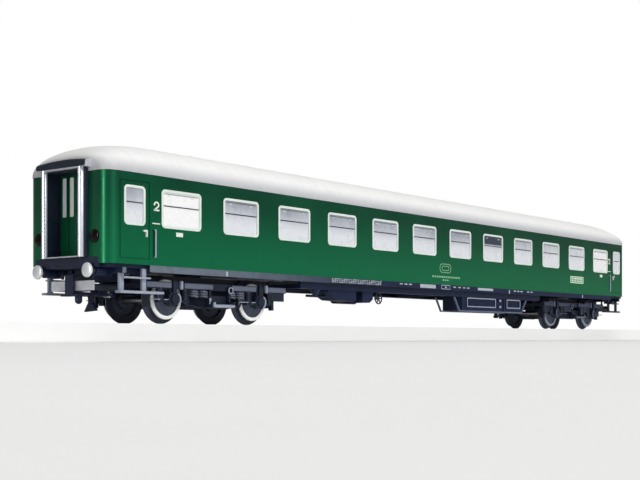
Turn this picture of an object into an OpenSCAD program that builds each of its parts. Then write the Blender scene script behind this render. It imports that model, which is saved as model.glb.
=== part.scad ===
// Express passenger coach in 1:87 scale for 16.5 mm gauge track, in millimetres.
// Origin: on the track centre line, midway along the coach, level with the bottom of the wheel flanges.
// +X runs along the coach, +Y across it and +Z up. The two ends are alike: "front" is the -X end.

/* [Coach body] */
// Length of the body between its end walls
body_l = 299; // [296:0.5:299]
// Width of the body over its side walls
body_w = 32.4; // [32:0.1:33]
// Height of the body's lower edge
body_z = 15.1; // [15:0.1:15.5]
// Height of the joint between body and roof
eave_z = 38.6; // [38:0.1:39]
// Thickness of the moulded walls
wall = 1.2; // [1:0.1:1.4]
// Radius of the upright body corners
corner_r = 3.5; // [2.5:0.5:4]

/* [Roof] */
// Height of the roof above the eaves
roof_rise = 9.15; // [8:0.05:10]
// How far the roof stands proud of the body walls
roof_lip = 0.15; // [0.1:0.05:0.3]
// Length over which each roof end curves down
roof_end_l = 24; // [16:1:30]
// Share of the roof's rise that is left at the end wall
roof_end_share = 0.36; // [0.3:0.02:0.5]

/* [Windows and doors] */
// Number of windows in one side
window_count = 12; // [10:2:12]
// Distance between window centres
window_pitch = 22.65; // [22:0.05:22.7]
// Width of a window over its frame
window_w = 14.2; // [13:0.1:15]
// Height of a window over its frame
window_h = 10.2; // [9:0.1:11]
// Height of the window centres
window_z = 30.2; // [29.8:0.1:30.6]
// Width of the window frame strip
frame_w = 0.65; // [0.5:0.05:0.9]
// Distance from the middle of the coach to the middle of a side door
door_x = 140.7; // [140.5:0.1:141]
// Width of a side door
door_w = 9.6; // [9:0.1:10]
// Width of a door window over its frame
door_window_w = 7; // [6:0.1:7.4]

/* [Gangways] */
// Length over the gangway faces
gangway_l = 303; // [302:0.5:303]
// Clear width inside a gangway
gangway_w = 13.9; // [12:0.1:14]
// Height of the gangway floor
gangway_z = 17.2; // [17:0.1:18]
// Height of the gangway's inner ceiling
gangway_top = 39; // [38.7:0.1:39.1]

/* [Buffers and headstocks] */
// Length over the buffer faces
length_over_buffers = 303; // [303:0.5:306]
// Distance between buffer centres across the coach
buffer_pitch = 20.1; // [19.5:0.1:20.5]
// Height of the buffer centres
buffer_z = 13.4; // [13.3:0.05:13.5]
// Radius of a buffer head
buffer_head_r = 1.85; // [1.6:0.05:2]
// Distance from the middle of the coach to a headstock's outer face
headstock_x = 144.5; // [144:0.1:144.6]

/* [Bogies] */
// Distance from the middle of the coach to a bogie pivot
bogie_x = 107.5; // [106:0.5:109]
// Distance between the two axles of a bogie
wheelbase = 33.5; // [31:0.5:34]
// Radius of the wheel tread
tread_r = 5.45; // [5.3:0.05:5.6]
// Depth of the wheel flange below the tread
flange_h = 1.2; // [1:0.05:1.2]
// Distance between the backs of the two tyres of an axle
back_to_back = 14.3; // [14.2:0.1:14.4]
// Width of a tyre
tyre_w = 2.8; // [2.6:0.1:2.8]
// Distance from a bogie's pivot to the end of its side frame near the coupling
bogie_half_l = 26.5; // [26:0.5:26.5]
// Distance from a bogie's pivot to the other end of its side frame
bogie_inner_l = 28; // [27:0.5:28]

/* [Couplings] */
// Distance from the middle of the coach to a coupling's swing pin
coupling_x = 136; // [135.5:0.5:136.5]
// Width of the coupling loop
loop_w = 17; // [15:0.5:17]

/* [Hidden] */
$fn = 48;

half_w = body_w / 2;
end_x = body_l / 2;
inner_half_w = half_w - wall;
axle_z = flange_h + tread_r;
flange_r = tread_r + flange_h;

// Underframe heights: floor plate, side sills between the doors, and the deeper frame between the bogies
floor_t = 0.9;
floor_z = body_z - floor_t;
sill_z = 13.3;
sill_half_l = 135.5;
sill_t = 1.6;
girder_z = 11.35;
girder_half_l = 74;
girder_y = 13;

// Fits and gaps
running_gap = 0.06;
pivot_gap = 0.08;
moving_gap = 0.3;

// Turning parts
pivot_r = 1.5;
journal_r = 0.5;
journal_tip = 12.2;
coupling_pin_r = 0.7;
tongue_low = 8.55;
tongue_high = 9.55;
loop_pin_r = 0.4;

// Coupling heights: swinging bar, its eye for the loop, and the loop's upright front strip
bar_z = 7.3;
bar_t = 0.9;
loop_x = coupling_x + 3.6;
loop_pin_z = 9;
loop_front_x = 147.7;
loop_bottom = 8.45;
loop_top = 10.95;
hook_top = 12.4;

// Tail lamps: distance from the centre line, height and radius
lamp_y = 11.3;
lamp_z = 22;
lamp_r = 1.7;

// Gangway walls beside, above and below the clear opening
bellows_t = 0.8;
bellows_lid_t = 0.4;

door_sides = [-1, 1];
window_xs = [for (i = [0:window_count - 1]) (i - (window_count - 1) / 2) * window_pitch];

// ---------------------------------------------------------------- shared helpers

// A flat outline drawn as (Y, Z), carried along +X
module along_x(length) { rotate([90, 0, 90]) linear_extrude(length) children(); }

// A flat outline drawn as (X, Z), carried along +Y
module along_y(length) { translate([0, length, 0]) rotate([90, 0, 0]) linear_extrude(length) children(); }

module both_sides() { children(); mirror([0, 1, 0]) children(); }

module both_ends() { children(); rotate([0, 0, 180]) children(); }

// A box given by its lowest and highest corners
module span(low, high) { translate(low) cube(high - low); }

// A centred rectangle with true round corners
module round_rect(w, h, r) {
    square([w - 2 * r, h], center = true);
    square([w, h - 2 * r], center = true);
    for (x = [-1, 1], y = [-1, 1]) translate([x * (w / 2 - r), y * (h / 2 - r)]) circle(r);
}

// A rod of radius r along Y, between two values of y
module rod_y(x, z, y0, y1, r) { translate([x, y0, z]) rotate([-90, 0, 0]) cylinder(r = r, h = y1 - y0); }

// A rod of radius r along X, between two values of x
module rod_x(y, z, x0, x1, r) { translate([x0, y, z]) rotate([0, 90, 0]) cylinder(r = r, h = x1 - x0); }

// A flat bar between two points of an (X, Z) side view, t thick across its length
module bar_2d(a, b, t) {
    run = b - a;
    translate(a) rotate(atan2(run[1], run[0])) translate([0, -t / 2]) square([norm(run), t]);
}

// Puts a part drawn for the -X end at either end
module at_end(front) { rotate([0, 0, front ? 0 : 180]) children(); }

// ---------------------------------------------------------------- body

module body_plan(grow) { round_rect(body_l + 2 * grow, body_w + 2 * grow, corner_r + grow); }

module window_outline(w, grow) { round_rect(w + 2 * grow, window_h + 2 * grow, 1.2 + grow); }

// Every window and door window of one side, as (X, Z) outlines grown by a margin
module side_openings(grow) {
    for (x = window_xs) translate([x, window_z]) window_outline(window_w, grow);
    for (s = door_sides) translate([s * door_x, window_z]) window_outline(door_window_w, grow);
}

// The groove round a side door, cut into the wall's outer face
module door_groove() {
    groove_w = 0.3;
    groove_depth = 0.25;
    door_low = 16.6;
    door_high = 36.4;
    for (s = door_sides) translate([s * door_x, half_w - groove_depth, (door_low + door_high) / 2])
        along_y(1) difference() {
            square([door_w + groove_w, door_high - door_low + groove_w], center = true);
            square([door_w - groove_w, door_high - door_low - groove_w], center = true);
        }
}

// The shallow hand recess behind each handrail
module rail_recess() {
    for (s = door_sides) span([s * 134.4 - 0.45, half_w - 0.35, 17.2], [s * 134.4 + 0.45, half_w + 1, 24.4]);
}

// Dark lower part of an end wall, between the corners: half its width
end_panel_half = 12.7;

// The notch in an end wall that the underframe's end panel fills
module end_panel_cut() {
    span([-end_x - 1, -end_panel_half, body_z - 1],
         [-end_x + wall + 0.05, end_panel_half, gangway_z - bellows_lid_t]);
}

// The opening in an end wall and roof end that a gangway stands in
module portal_cut() {
    span([-end_x - 1, -gangway_w / 2 - bellows_t, gangway_z - bellows_lid_t],
         [-end_x + wall + 1, gangway_w / 2 + bellows_t, gangway_top + bellows_lid_t]);
}

module body_shell() {
    color("forestgreen") difference() {
        translate([0, 0, body_z]) linear_extrude(eave_z - body_z) body_plan(0);
        translate([0, 0, body_z - 1]) linear_extrude(eave_z - body_z + 2) body_plan(-wall);
        translate([0, -body_w, 0]) along_y(2 * body_w) side_openings(0);
        both_sides() door_groove();
        both_sides() rail_recess();
        both_ends() portal_cut();
        both_ends() end_panel_cut();
        both_ends() both_sides() rod_x(lamp_y, lamp_z, -end_x - 1, -end_x + wall + 1, lamp_r);
    }
}

// ---------------------------------------------------------------- roof

roof_steps = 24;
roof_end_steps = 12;
roof_power = 2.2;
roof_skirt = 0.4;

// How much of the roof's rise is left at distance ax from the middle
function rise_share(ax, x_end) =
    ax <= x_end - roof_end_l ? 1 : roof_end_share + (1 - roof_end_share)
        * pow(max(0, 1 - pow((ax - x_end + roof_end_l) / roof_end_l, roof_power)), 1 / roof_power);

// Half width of the roof at distance ax from the middle, round the corners of the plan
function plan_half_w(ax, x_end, y_side, r) =
    ax <= x_end - r ? y_side : y_side - r + sqrt(max(0, r * r - pow(ax - x_end + r, 2)));

// One closed (Y, Z) ring of the roof: a squarish arc over a short upright skirt
function roof_ring(x, inset, drop) =
    let(x_end = end_x + roof_lip - inset,
        a = plan_half_w(abs(x), x_end, half_w + roof_lip - inset, corner_r + roof_lip - inset),
        rise = (roof_rise - roof_skirt) * rise_share(abs(x), x_end) - inset)
    concat([[x, a, -drop]],
        [for (i = [0:roof_steps]) let(t = 180 * i / roof_steps)
            [x, a * sign(cos(t)) * pow(abs(cos(t)), 2 / roof_power),
             roof_skirt + rise * pow(sin(t), 2 / roof_power)]],
        [[x, -a, -drop]]);

// Distances of the rings from the middle: few along the straight, close together at the ends
function roof_stations(inset) =
    let(x_end = end_x + roof_lip - inset, x_start = x_end - roof_end_l,
        half = [for (i = [0:roof_end_steps]) x_start + roof_end_l * sin(90 * i / roof_end_steps)])
    concat([for (i = [roof_end_steps:-1:0]) -half[i]], half);

module roof_solid(inset, drop) {
    rings = [for (x = roof_stations(inset)) roof_ring(x, inset, drop)];
    n = len(rings[0]);
    last = len(rings) - 1;
    translate([0, 0, eave_z]) polyhedron(
        points = [for (ring = rings) each ring],
        faces = concat([[for (j = [0:n - 1]) j]], [[for (j = [n - 1:-1:0]) last * n + j]],
            [for (i = [0:last - 1], j = [0:n - 1])
                [i * n + j, (i + 1) * n + j, (i + 1) * n + (j + 1) % n, i * n + (j + 1) % n]]),
        convexity = 4);
}

module roof() {
    color("whitesmoke") difference() {
        roof_solid(0, 0);
        roof_solid(wall, 1);
        both_ends() portal_cut();
    }
}

// ---------------------------------------------------------------- windows

module window_frames() {
    color("gainsboro") translate([0, half_w - 0.9, 0]) along_y(1) difference() {
        side_openings(0);
        side_openings(-frame_w);
    }
}

// Clear strip behind the wall, with a raised pane in every opening
module window_panes() {
    strip_y = inner_half_w - 0.8;
    color("white") {
        span([-end_x + 4.4, strip_y, 23.8], [end_x - 4.4, inner_half_w, 36.6]);
        translate([0, inner_half_w, 0]) along_y(0.9) side_openings(-frame_w);
    }
}

// ---------------------------------------------------------------- gangways, drawn for the -X end

door_leaf_t = 0.9;
door_front = -end_x + 3.5;
gangway_mid_z = (gangway_z + gangway_top) / 2;
gangway_clear_h = gangway_top - gangway_z;
post_in = 0.45;
post_out = 1.3;
bellows_flange = 4.1;
face_t = 1;
pane_low = 27.9;
pane_high = 38.2;
pane_ys = [2.3, 5.3];
pane_w = 1.7;

module gangway_pane_outlines() {
    for (s = [-1, 1], y = pane_ys) translate([s * y, (pane_low + pane_high) / 2])
        round_rect(pane_w, pane_high - pane_low, 0.4);
}

// The two folding door leaves at the back of the gangway
module gangway_door() {
    color("forestgreen") translate([door_front, 0, 0]) difference() {
        along_x(door_leaf_t) translate([0, gangway_mid_z]) square([gangway_w, gangway_clear_h], center = true);
        translate([-1, 0, 0]) along_x(3) gangway_pane_outlines();
        for (y = [-3.5, 0, 3.5]) span([-1, y - 0.12, gangway_z - 1], [0.25, y + 0.12, gangway_top + 1]);
    }
}

module gangway_door_panes() {
    color("white") translate([door_front + 0.1, 0, 0])
        along_x(door_leaf_t - 0.2) gangway_pane_outlines();
}

// Four walls that run from the door to just behind the face frame
module gangway_bellows() {
    back_x = door_front + door_leaf_t;
    front_x = -gangway_l / 2 + face_t;
    outer_h = gangway_clear_h + 2 * bellows_lid_t;
    color("midnightblue") translate([front_x, 0, gangway_mid_z]) difference() {
        union() {
            along_x(back_x - front_x) square([gangway_w + 2 * bellows_t, outer_h], center = true);
            along_x(-end_x - roof_lip - front_x) square([gangway_w + bellows_flange, outer_h], center = true);
        }
        translate([-1, 0, 0]) along_x(back_x - front_x + 2) square([gangway_w, gangway_clear_h], center = true);
    }
}

// The pale frame round the opening, with flat front faces
module gangway_frame() {
    inner = gangway_w / 2 - post_in;
    low = gangway_z - bellows_lid_t;
    high = gangway_top + 0.8;
    color("silver") translate([-gangway_l / 2, 0, 0]) {
        both_sides() span([0, inner, low], [face_t, gangway_w / 2 + post_out, high]);
        span([0, -inner, low], [face_t, inner, gangway_z + 0.1]);
        span([0, -inner, gangway_top - 0.2], [face_t, inner, high]);
    }
}

// The dark roll over the gangway, slightly arched on top
module gangway_roof() {
    half = 10;
    low = gangway_top + 0.8;
    top = 42;
    arch_r = 71;
    color("midnightblue") translate([-gangway_l / 2, 0, 0]) along_x(gangway_l / 2 - end_x - roof_lip) {
        intersection() {
            translate([-half, low]) square([2 * half, 4]);
            translate([0, top - arch_r]) circle(arch_r, $fn = 360);
        }
    }
}

module tail_lamps() {
    color("maroon") both_sides() rod_x(lamp_y, lamp_z, -end_x - 0.2, -end_x + wall, lamp_r);
}

// ---------------------------------------------------------------- door furniture

module door_handles() {
    color("gainsboro") both_sides() for (s = door_sides) {
        x = s * (door_x - 3.2);
        span([x - 0.5, half_w, 23.6], [x + 0.5, half_w + 0.5, 24.1]);
        span([x - s * 0.5 - 0.2, half_w, 22.3], [x - s * 0.5 + 0.2, half_w + 0.5, 24.1]);
    }
}

module door_handrails() {
    color("gainsboro") both_sides() for (s = door_sides) {
        x = s * 134;
        translate([x, half_w + 0.4, 17.2]) cylinder(r = 0.22, h = 7.2);
        for (z = [17.3, 24.3]) rod_y(x, z, half_w, half_w + 0.4, 0.22);
    }
}

// ---------------------------------------------------------------- inside

screw_xs = [-78, 78];
screw_y = 8.5;
screw_r = 0.8;

module interior() {
    floor_top = body_z + 1.2;
    seat_w = 5;
    seat_h = 5;
    back_h = 12;
    aisle_y = 6.5;
    color("burlywood") difference() {
        union() {
            span([-133, -inner_half_w + 1.2, body_z], [133, inner_half_w - 1.2, floor_top]);
            span([-125, aisle_y, floor_top], [125, aisle_y + 0.8, floor_top + 18]);
            for (x = window_xs) {
                span([x - 6.4 - 2.5, -13.2, floor_top], [x - 6.4 + seat_w / 2, aisle_y, floor_top + seat_h]);
                span([x + 6.4 - seat_w / 2, -13.2, floor_top], [x + 6.4 + 2.5, aisle_y, floor_top + seat_h]);
                span([x - 9.6, -13.2, floor_top], [x - 8.9, aisle_y, floor_top + back_h]);
                span([x + 8.9, -13.2, floor_top], [x + 9.6, aisle_y, floor_top + back_h]);
            }
            for (x = screw_xs) for (y = [-1, 1]) translate([x, y * screw_y, floor_top])
                cylinder(r = 1.6, h = 4);
        }
        for (x = screw_xs) for (y = [-1, 1]) translate([x, y * screw_y, body_z - 1])
            cylinder(r = screw_r, h = 5);
    }
}

module ballast_weight() {
    color("dimgray") span([-66, -7, floor_z - 1.6], [66, 7, floor_z]);
}

// ---------------------------------------------------------------- chassis

module sills() {
    both_sides() span([-sill_half_l, half_w - 0.05 - sill_t, sill_z], [sill_half_l, half_w - 0.05, floor_z]);
}

module girders() {
    both_sides() span([-girder_half_l, girder_y, girder_z], [girder_half_l, girder_y + 1, floor_z]);
    both_sides() span([-girder_half_l, girder_y - 1.6, girder_z], [girder_half_l, girder_y, girder_z + 0.6]);
    for (x = [-74, -61.6, 8, 66, 73]) span([x, -girder_y, girder_z], [x + 1, girder_y, floor_z - 1.6]);
}

module headstock() {
    span([-headstock_x, -half_w + 0.2, sill_z - 0.5], [-headstock_x + 1.2, half_w - 0.2, floor_z]);
    both_sides() span([-headstock_x + 1.2, 11.2, sill_z - 0.5], [-sill_half_l, 12.2, floor_z]);
}

// Box behind a headstock that would hold the draw gear
module draw_gear_box() {
    half = 5;
    low = 11.1;
    span([-headstock_x + 1.2, -half, low], [-sill_half_l + 0.3, half, floor_z]);
}

// Upright panel that closes the notch in the end wall
module end_panel() {
    fit = 0.05;
    panel_t = 1.6;
    span([-end_x, -end_panel_half + fit, floor_z],
         [-end_x + panel_t, end_panel_half - fit, gangway_z - bellows_lid_t - fit]);
}

module chassis() {
    color("#1a2130") difference() {
        union() {
            span([-sill_half_l, -half_w + 0.05, floor_z], [sill_half_l, half_w - 0.05, body_z]);
            both_ends() span([-end_x + wall + 0.1, -inner_half_w + 0.1, floor_z], [-sill_half_l, inner_half_w - 0.1, body_z]);
            sills();
            girders();
            both_ends() headstock();
            both_ends() draw_gear_box();
            both_ends() end_panel();
            both_ends() translate([-bogie_x, 0, bolster_top + moving_gap]) cylinder(r = 4, h = floor_z - bolster_top - moving_gap);
        }
        both_ends() translate([-bogie_x, 0, 0]) cylinder(r = pivot_r, h = 30);
        for (x = screw_xs, y = [-1, 1]) translate([x, y * screw_y, 0]) cylinder(r = screw_r, h = 30);
        both_ends() both_sides() rod_x(buffer_pitch / 2, buffer_z, -headstock_x - 1, -headstock_x + 2, 0.8);
        both_ends() both_sides() rod_x(buffer_pitch / 2, buffer_z, -end_x, -headstock_x, sleeve_flange_r + 0.05);
    }
}

module chassis_screws() {
    head_r = 1.4;
    color("silver") for (x = screw_xs, y = [-1, 1]) translate([x, y * screw_y, 0]) difference() {
        union() {
            translate([0, 0, floor_z - 0.7]) cylinder(r = head_r, h = 0.7);
            translate([0, 0, floor_z]) cylinder(r = screw_r, h = 4);
        }
        translate([-2, -0.2, floor_z - 0.8]) cube([4, 0.4, 0.4]);
    }
}

// ---------------------------------------------------------------- buffers and hoses

sleeve_r = 1.4;
sleeve_flange_r = 1.5;

module buffer_sleeve() {
    translate([0, buffer_pitch / 2, buffer_z]) {
        translate([-headstock_x - 0.5, -1.9, -1.45]) cube([0.5, 3.8, floor_z - buffer_z + 1.45]);
        rod_x(0, 0, -headstock_x - 1.1, -headstock_x - 0.5, sleeve_flange_r);
        difference() {
            rod_x(0, 0, -headstock_x - 4.4, -headstock_x - 1.1, sleeve_r);
            rod_x(0, 0, -headstock_x - 5, -headstock_x - 2.4, 1);
        }
    }
}

module buffer_sleeves() { color("#1a2130") both_ends() both_sides() buffer_sleeve(); }

module buffer_head() {
    face_x = -length_over_buffers / 2;
    dome_r = 5.5;
    disc_t = 1.1;
    translate([face_x, buffer_pitch / 2, buffer_z]) {
        intersection() {
            rod_x(0, 0, 0, disc_t, buffer_head_r);
            translate([dome_r, 0, 0]) sphere(dome_r, $fn = 64);
        }
        rod_x(0, 0, disc_t, length_over_buffers / 2 - headstock_x - 2.4, 0.95);
    }
}

module buffer_heads() { color("gainsboro") both_ends() both_sides() buffer_head(); }

// Bent brake hoses and heating sockets on a headstock
module headstock_fittings() {
    hose_r = 0.4;
    bend_r = 0.8;
    hose_z = 13.6;
    hose_x = -headstock_x - 0.4;
    for (y = [-6.4, 6.4]) {
        rod_x(y, hose_z, hose_x, -headstock_x, hose_r);
        translate([hose_x, y, hose_z - bend_r]) rotate([90, 0, 0])
            rotate([0, 0, 90]) rotate_extrude(angle = 90) translate([bend_r, 0]) circle(hose_r);
        translate([hose_x - bend_r, y, 11.6]) cylinder(r = hose_r, h = hose_z - bend_r - 11.6);
    }
    for (y = [-3.6, 3.4]) span([-headstock_x - 0.6, y, 13], [-headstock_x, y + 1, 13.9]);
}

module brake_hoses() { color("#101418") both_ends() headstock_fittings(); }

// ---------------------------------------------------------------- door steps, drawn for the -X end, +Y side

step_y0 = 14;
step_y1 = 16;
lower_step_z = 7.7;
step_t = 0.6;
upper_step_z = 11.5;

module steps() {
    hanger_t = 0.7;
    hanger_low = lower_step_z + step_t - 0.1;
    color("silver") {
        span([-145.2, step_y0, lower_step_z], [-130.6, step_y1, lower_step_z + step_t]);
        span([-144, step_y0, upper_step_z], [-135.1, step_y1, upper_step_z + 0.4]);
        span([-144.4, step_y0, hanger_low], [-143, step_y0 + hanger_t, sill_z - 0.5]);
        span([-136.9, step_y0, hanger_low], [-135.6, step_y0 + hanger_t, floor_z]);
    }
}

module steps_at(front, left) { at_end(front) mirror([0, left == front ? 0 : 1, 0]) steps(); }

// ---------------------------------------------------------------- gear under the floor, -Y side

box_face_y = -13.6;

module battery_box() {
    low = 6.4;
    color("#1a2130") {
        span([16.4, box_face_y, low], [59.4, -5, girder_z]);
        for (lid = [[19.4, 39.6], [47.8, 58.2]]) translate([0, box_face_y - 0.3, 0]) along_y(0.3) difference() {
            translate([lid[0], 7.7]) square([lid[1] - lid[0], 3.5]);
            translate([lid[0] + 0.5, 8.2]) square([lid[1] - lid[0] - 1, 2.5]);
        }
        for (z = [7.7, 10.1]) span([42, box_face_y - 0.4, z], [43.6, box_face_y, z + 0.9]);
        span([45.6, box_face_y - 0.3, low], [46.1, box_face_y, girder_z]);
    }
}

// Hanger frame that carries the battery box: a rail below and a slanted strut at each end
module battery_box_carrier() {
    color("slategray") for (y = [box_face_y - 0.2, -5.6]) translate([0, y, 0]) along_y(0.6) {
        translate([14.4, 5.9]) square([45.4, 0.5]);
        bar_2d([11.3, girder_z - 0.15], [14.7, 6.1], 0.5);
        bar_2d([59.6, 6.1], [63.3, girder_z - 0.15], 0.5);
    }
}

module brake_cylinder() {
    color("#1a2130") {
        translate([0, -12.9, 0]) along_y(6.9)
            polygon([[-60, girder_z], [-59.6, 10.5], [-54.6, 8.3], [-46.2, 8], [-45.4, 8.6], [-45.4, girder_z]]);
        rod_x(-9.4, 9.4, -45.4, -43.2, 1);
        rod_x(-9.4, 9.4, -66, -56.5, 0.4);
    }
}

module regulator_box() {
    color("#1a2130") {
        translate([0, -13, 0]) along_y(7)
            polygon([[-42.2, girder_z], [-42.2, 7.8], [-38.4, 7.8], [-36.6, 9], [-36.6, girder_z]]);
    }
}

module hand_brake_wheel() {
    ring_r = 1.75;
    wheel_z = 9.35;
    color("dimgray") translate([-34, -13.3, wheel_z]) rotate([90, 0, 0]) {
        rotate_extrude() translate([ring_r, 0]) circle(0.22, $fn = 24);
        for (a = [0, 60, 120]) rotate([0, 0, a]) translate([-ring_r, -0.15, -0.15]) cube([2 * ring_r, 0.3, 0.3]);
        translate([0, 0, -1.5]) cylinder(r = 0.4, h = 1.7);
        translate([-0.4, -0.4, -1.5]) cube([0.8, girder_z - wheel_z + 0.4, 0.6]);
    }
}

module drain_pipe() {
    pipe_x = 69.1;
    pipe_y = 4;
    color("#1a2130") {
        translate([-65.6, -12.6, 9.3]) cylinder(r1 = 0.7, r2 = 1.7, h = girder_z - 9.3);
        translate([pipe_x, pipe_y, 5.4]) cylinder(r = 0.8, h = floor_z - 5.4);
        translate([pipe_x, pipe_y, 4.4]) cylinder(r1 = 0.9, r2 = 1.25, h = 1);
    }
}

// Air tank along the coach from x, hung from the floor by two straps
module air_tank(x, length, r) {
    tank_y = 9;
    tank_z = 9.7;
    cap = 0.8;
    strap_w = 1;
    rod_x(tank_y, tank_z, x, x + length, r);
    rod_x(tank_y, tank_z, x - cap, x, r - cap);
    rod_x(tank_y, tank_z, x + length, x + length + cap, r - cap);
    for (s = [x + 2, x + length - 2 - strap_w])
        span([s, tank_y - 0.6, tank_z + r - 0.4], [s + strap_w, tank_y + 0.6, floor_z]);
}

module air_tanks() {
    color("#1a2130") {
        air_tank(-30.5, 11.5, 1.6);
        air_tank(50, 14, 2);
    }
}

// ---------------------------------------------------------------- bogies, drawn about the pivot, coupling end at -X

frame_y = 11.5;
frame_t = 1.1;
beam_low = 9.45;
beam_high = 11.3;
bolster_top = 13.2;
cradle_x = 3.8;
axle_xs = [-wheelbase / 2, wheelbase / 2];
box_r = 2.1;

// Moulded strip that stands proud of the beam's outer face
module beam_panel(x0, x1) {
    span([x0, frame_y + frame_t, beam_low + 0.15], [x1, frame_y + frame_t + 0.35, beam_high - 0.1]);
}

// Axle box with its spring wings, cover and link, about one axle end
module axle_box() {
    translate([0, frame_y - 0.3, axle_z]) rotate([-90, 0, 0]) cylinder(r = box_r, h = frame_t + 0.8);
    translate([0, frame_y + frame_t + 0.5, axle_z]) rotate([-90, 0, 0]) cylinder(r = 1.3, h = 0.5);
    span([-5.6, frame_y, axle_z - 0.9], [5.6, frame_y + frame_t + 0.2, axle_z - 0.3]);
    span([-1.3, frame_y, axle_z], [1.3, frame_y + frame_t, beam_low + 0.1]);
    span([-0.6, frame_y + frame_t, axle_z + 1.4], [0.6, frame_y + frame_t + 0.7, beam_high + 0.3]);
}

module spring(x, z0, z1, r) {
    translate([x, frame_y + frame_t / 2 + 0.1, z0]) cylinder(r = r, h = z1 - z0);
}

// Centre cradle: two side plates that reach out to a round bar between them, and the damper eye above
module bolster_cradle() {
    low = 4.6;
    bar_y = frame_y + 3.5;
    for (s = [-1, 1]) {
        span([s * cradle_x - 0.35, frame_y, low], [s * cradle_x + 0.35, frame_y + 1.9, beam_low + 0.1]);
        span([s * cradle_x - 0.35, frame_y + 1.8, low], [s * cradle_x + 0.35, bar_y + 0.3, low + 1.7]);
    }
    rod_x(bar_y, 5.1, -cradle_x, cradle_x, 0.4);
    span([-cradle_x, frame_y - 0.2, 5.6], [cradle_x, frame_y + 0.7, 8]);
    translate([4.2, frame_y + frame_t, 9.6]) rotate([-90, 0, 0]) difference() {
        cylinder(r = 1.05, h = 0.8);
        translate([0, 0, 0.4]) cylinder(r = 0.6, h = 1);
    }
}

// Brake block beside a wheel, hung from a crossbar
module brake_shoe(x) {
    span([x - 0.45, 7.95, axle_z - 1.6], [x + 0.45, 9.9, axle_z + 1.8]);
    span([x - 0.3, 8.5, axle_z + 1.8], [x + 0.3, 9.3, beam_low + 0.5]);
}

module side_frame() {
    hanger_x = 24.3;
    span([-bogie_half_l, frame_y, beam_low], [bogie_inner_l, frame_y + frame_t, beam_high]);
    for (ends = [[-bogie_half_l, -17.5], [-13.1, -2.1], [5, 15.3], [20, bogie_inner_l]]) beam_panel(ends[0], ends[1]);
    span([21.6, frame_y + 0.1, 7.1], [bogie_inner_l - 0.4, frame_y + 1, beam_low + 0.1]);
    for (s = [-1, 1]) {
        translate([s * wheelbase / 2, 0, 0]) axle_box();
        for (d = [-4.4, 4.4]) spring(s * wheelbase / 2 + d, axle_z - 0.4, beam_low + 0.1, 0.95);
        for (d = [5.4, 9]) spring(s * d, 7.4, beam_low + 0.1, 1.15);
        span([s * hanger_x - 0.5, frame_y - 1.8, 4.4], [s * hanger_x + 0.5, frame_y - 0.6, beam_low + 0.6]);
        span([s * hanger_x - 0.5, frame_y - 1.8, beam_low], [s * hanger_x + 0.5, frame_y + 0.1, beam_low + 0.6]);
    }
    bolster_cradle();
}

// Plate just inside the wheels, deep between them and shallow over the axles
module inner_plate() {
    half = 26;
    mid_half = 9.5;
    over_axle = 8.2;
    low = 4.5;
    translate([0, back_to_back / 2 - 1.45, 0]) along_y(1)
        polygon([[-half, over_axle], [-mid_half, over_axle], [-mid_half, low], [mid_half, low],
                 [mid_half, over_axle], [half, over_axle], [half, bolster_top], [-half, bolster_top]]);
}

module crossbar(x, half, h) {
    span([x - half, -frame_y - 0.1, beam_low], [x + half, frame_y + 0.1, beam_low + h]);
}

module bogie_crossbars() {
    span([-4.6, -frame_y - 0.1, 9.7], [4.6, frame_y + 0.1, 11.2]);
    translate([0, 0, 11.2]) cylinder(r = 4, h = bolster_top - 11.2);
    crossbar(-bogie_half_l + 0.7, 0.7, 1.3);
    crossbar(bogie_inner_l - 0.7, 0.7, 1.3);
    for (x = [-23.5, -9.8, 9.8, 23.5]) crossbar(x, 0.5, 0.8);
    span([-9.8, -2, beam_low], [9.8, 2, beam_low + 0.8]);
}

// Tongue below the end bar that carries the coupling's swing pin
module coupling_tongue() {
    pin_x = -(coupling_x - bogie_x);
    span([pin_x, -2.4, tongue_low], [-25, 2.4, tongue_high]);
    translate([pin_x, 0, tongue_low]) cylinder(r = 2.4, h = tongue_high - tongue_low);
}

module bogie_frame() {
    pin_x = -(coupling_x - bogie_x);
    color("#2a3038") difference() {
        union() {
            both_sides() side_frame();
            both_sides() inner_plate();
            bogie_crossbars();
            coupling_tongue();
            both_sides() for (x = axle_xs, s = [-1, 1]) brake_shoe(x + s * 6.4);
        }
        cylinder(r = pivot_r + pivot_gap, h = 30);
        translate([0, 0, 9]) cylinder(r = 2.9, h = 1.2);
        translate([pin_x, 0, 0]) cylinder(r = coupling_pin_r, h = 20);
        for (x = axle_xs) rod_y(x, axle_z, -journal_tip - 0.3, journal_tip + 0.3, 0.95);
    }
}

// Brass cups that the axle ends run in
module axle_bearings() {
    color("goldenrod") both_sides() for (x = axle_xs) difference() {
        rod_y(x, axle_z, frame_y - 0.3, journal_tip + 0.3, 0.95);
        rod_y(x, axle_z, frame_y - 1, journal_tip + 0.06, journal_r + running_gap);
    }
}

module at_bogie(front) { at_end(front) translate([-bogie_x, 0, 0]) children(); }

// Shouldered screw on which a bogie turns
module bogie_screw() {
    color("silver") difference() {
        union() {
            translate([0, 0, 9.1]) cylinder(r = 2.6, h = 0.8);
            translate([0, 0, 9.9]) cylinder(r = pivot_r, h = body_z - 9.9);
        }
        translate([-3, -0.25, 9]) cube([6, 0.5, 0.5]);
    }
}

// ---------------------------------------------------------------- wheelsets, drawn about the axle line along Y

module axle() {
    color("silver") {
        rod_y(0, 0, -10.6, 10.6, 1);
        rod_y(0, 0, -journal_tip, journal_tip, journal_r);
    }
}

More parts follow.
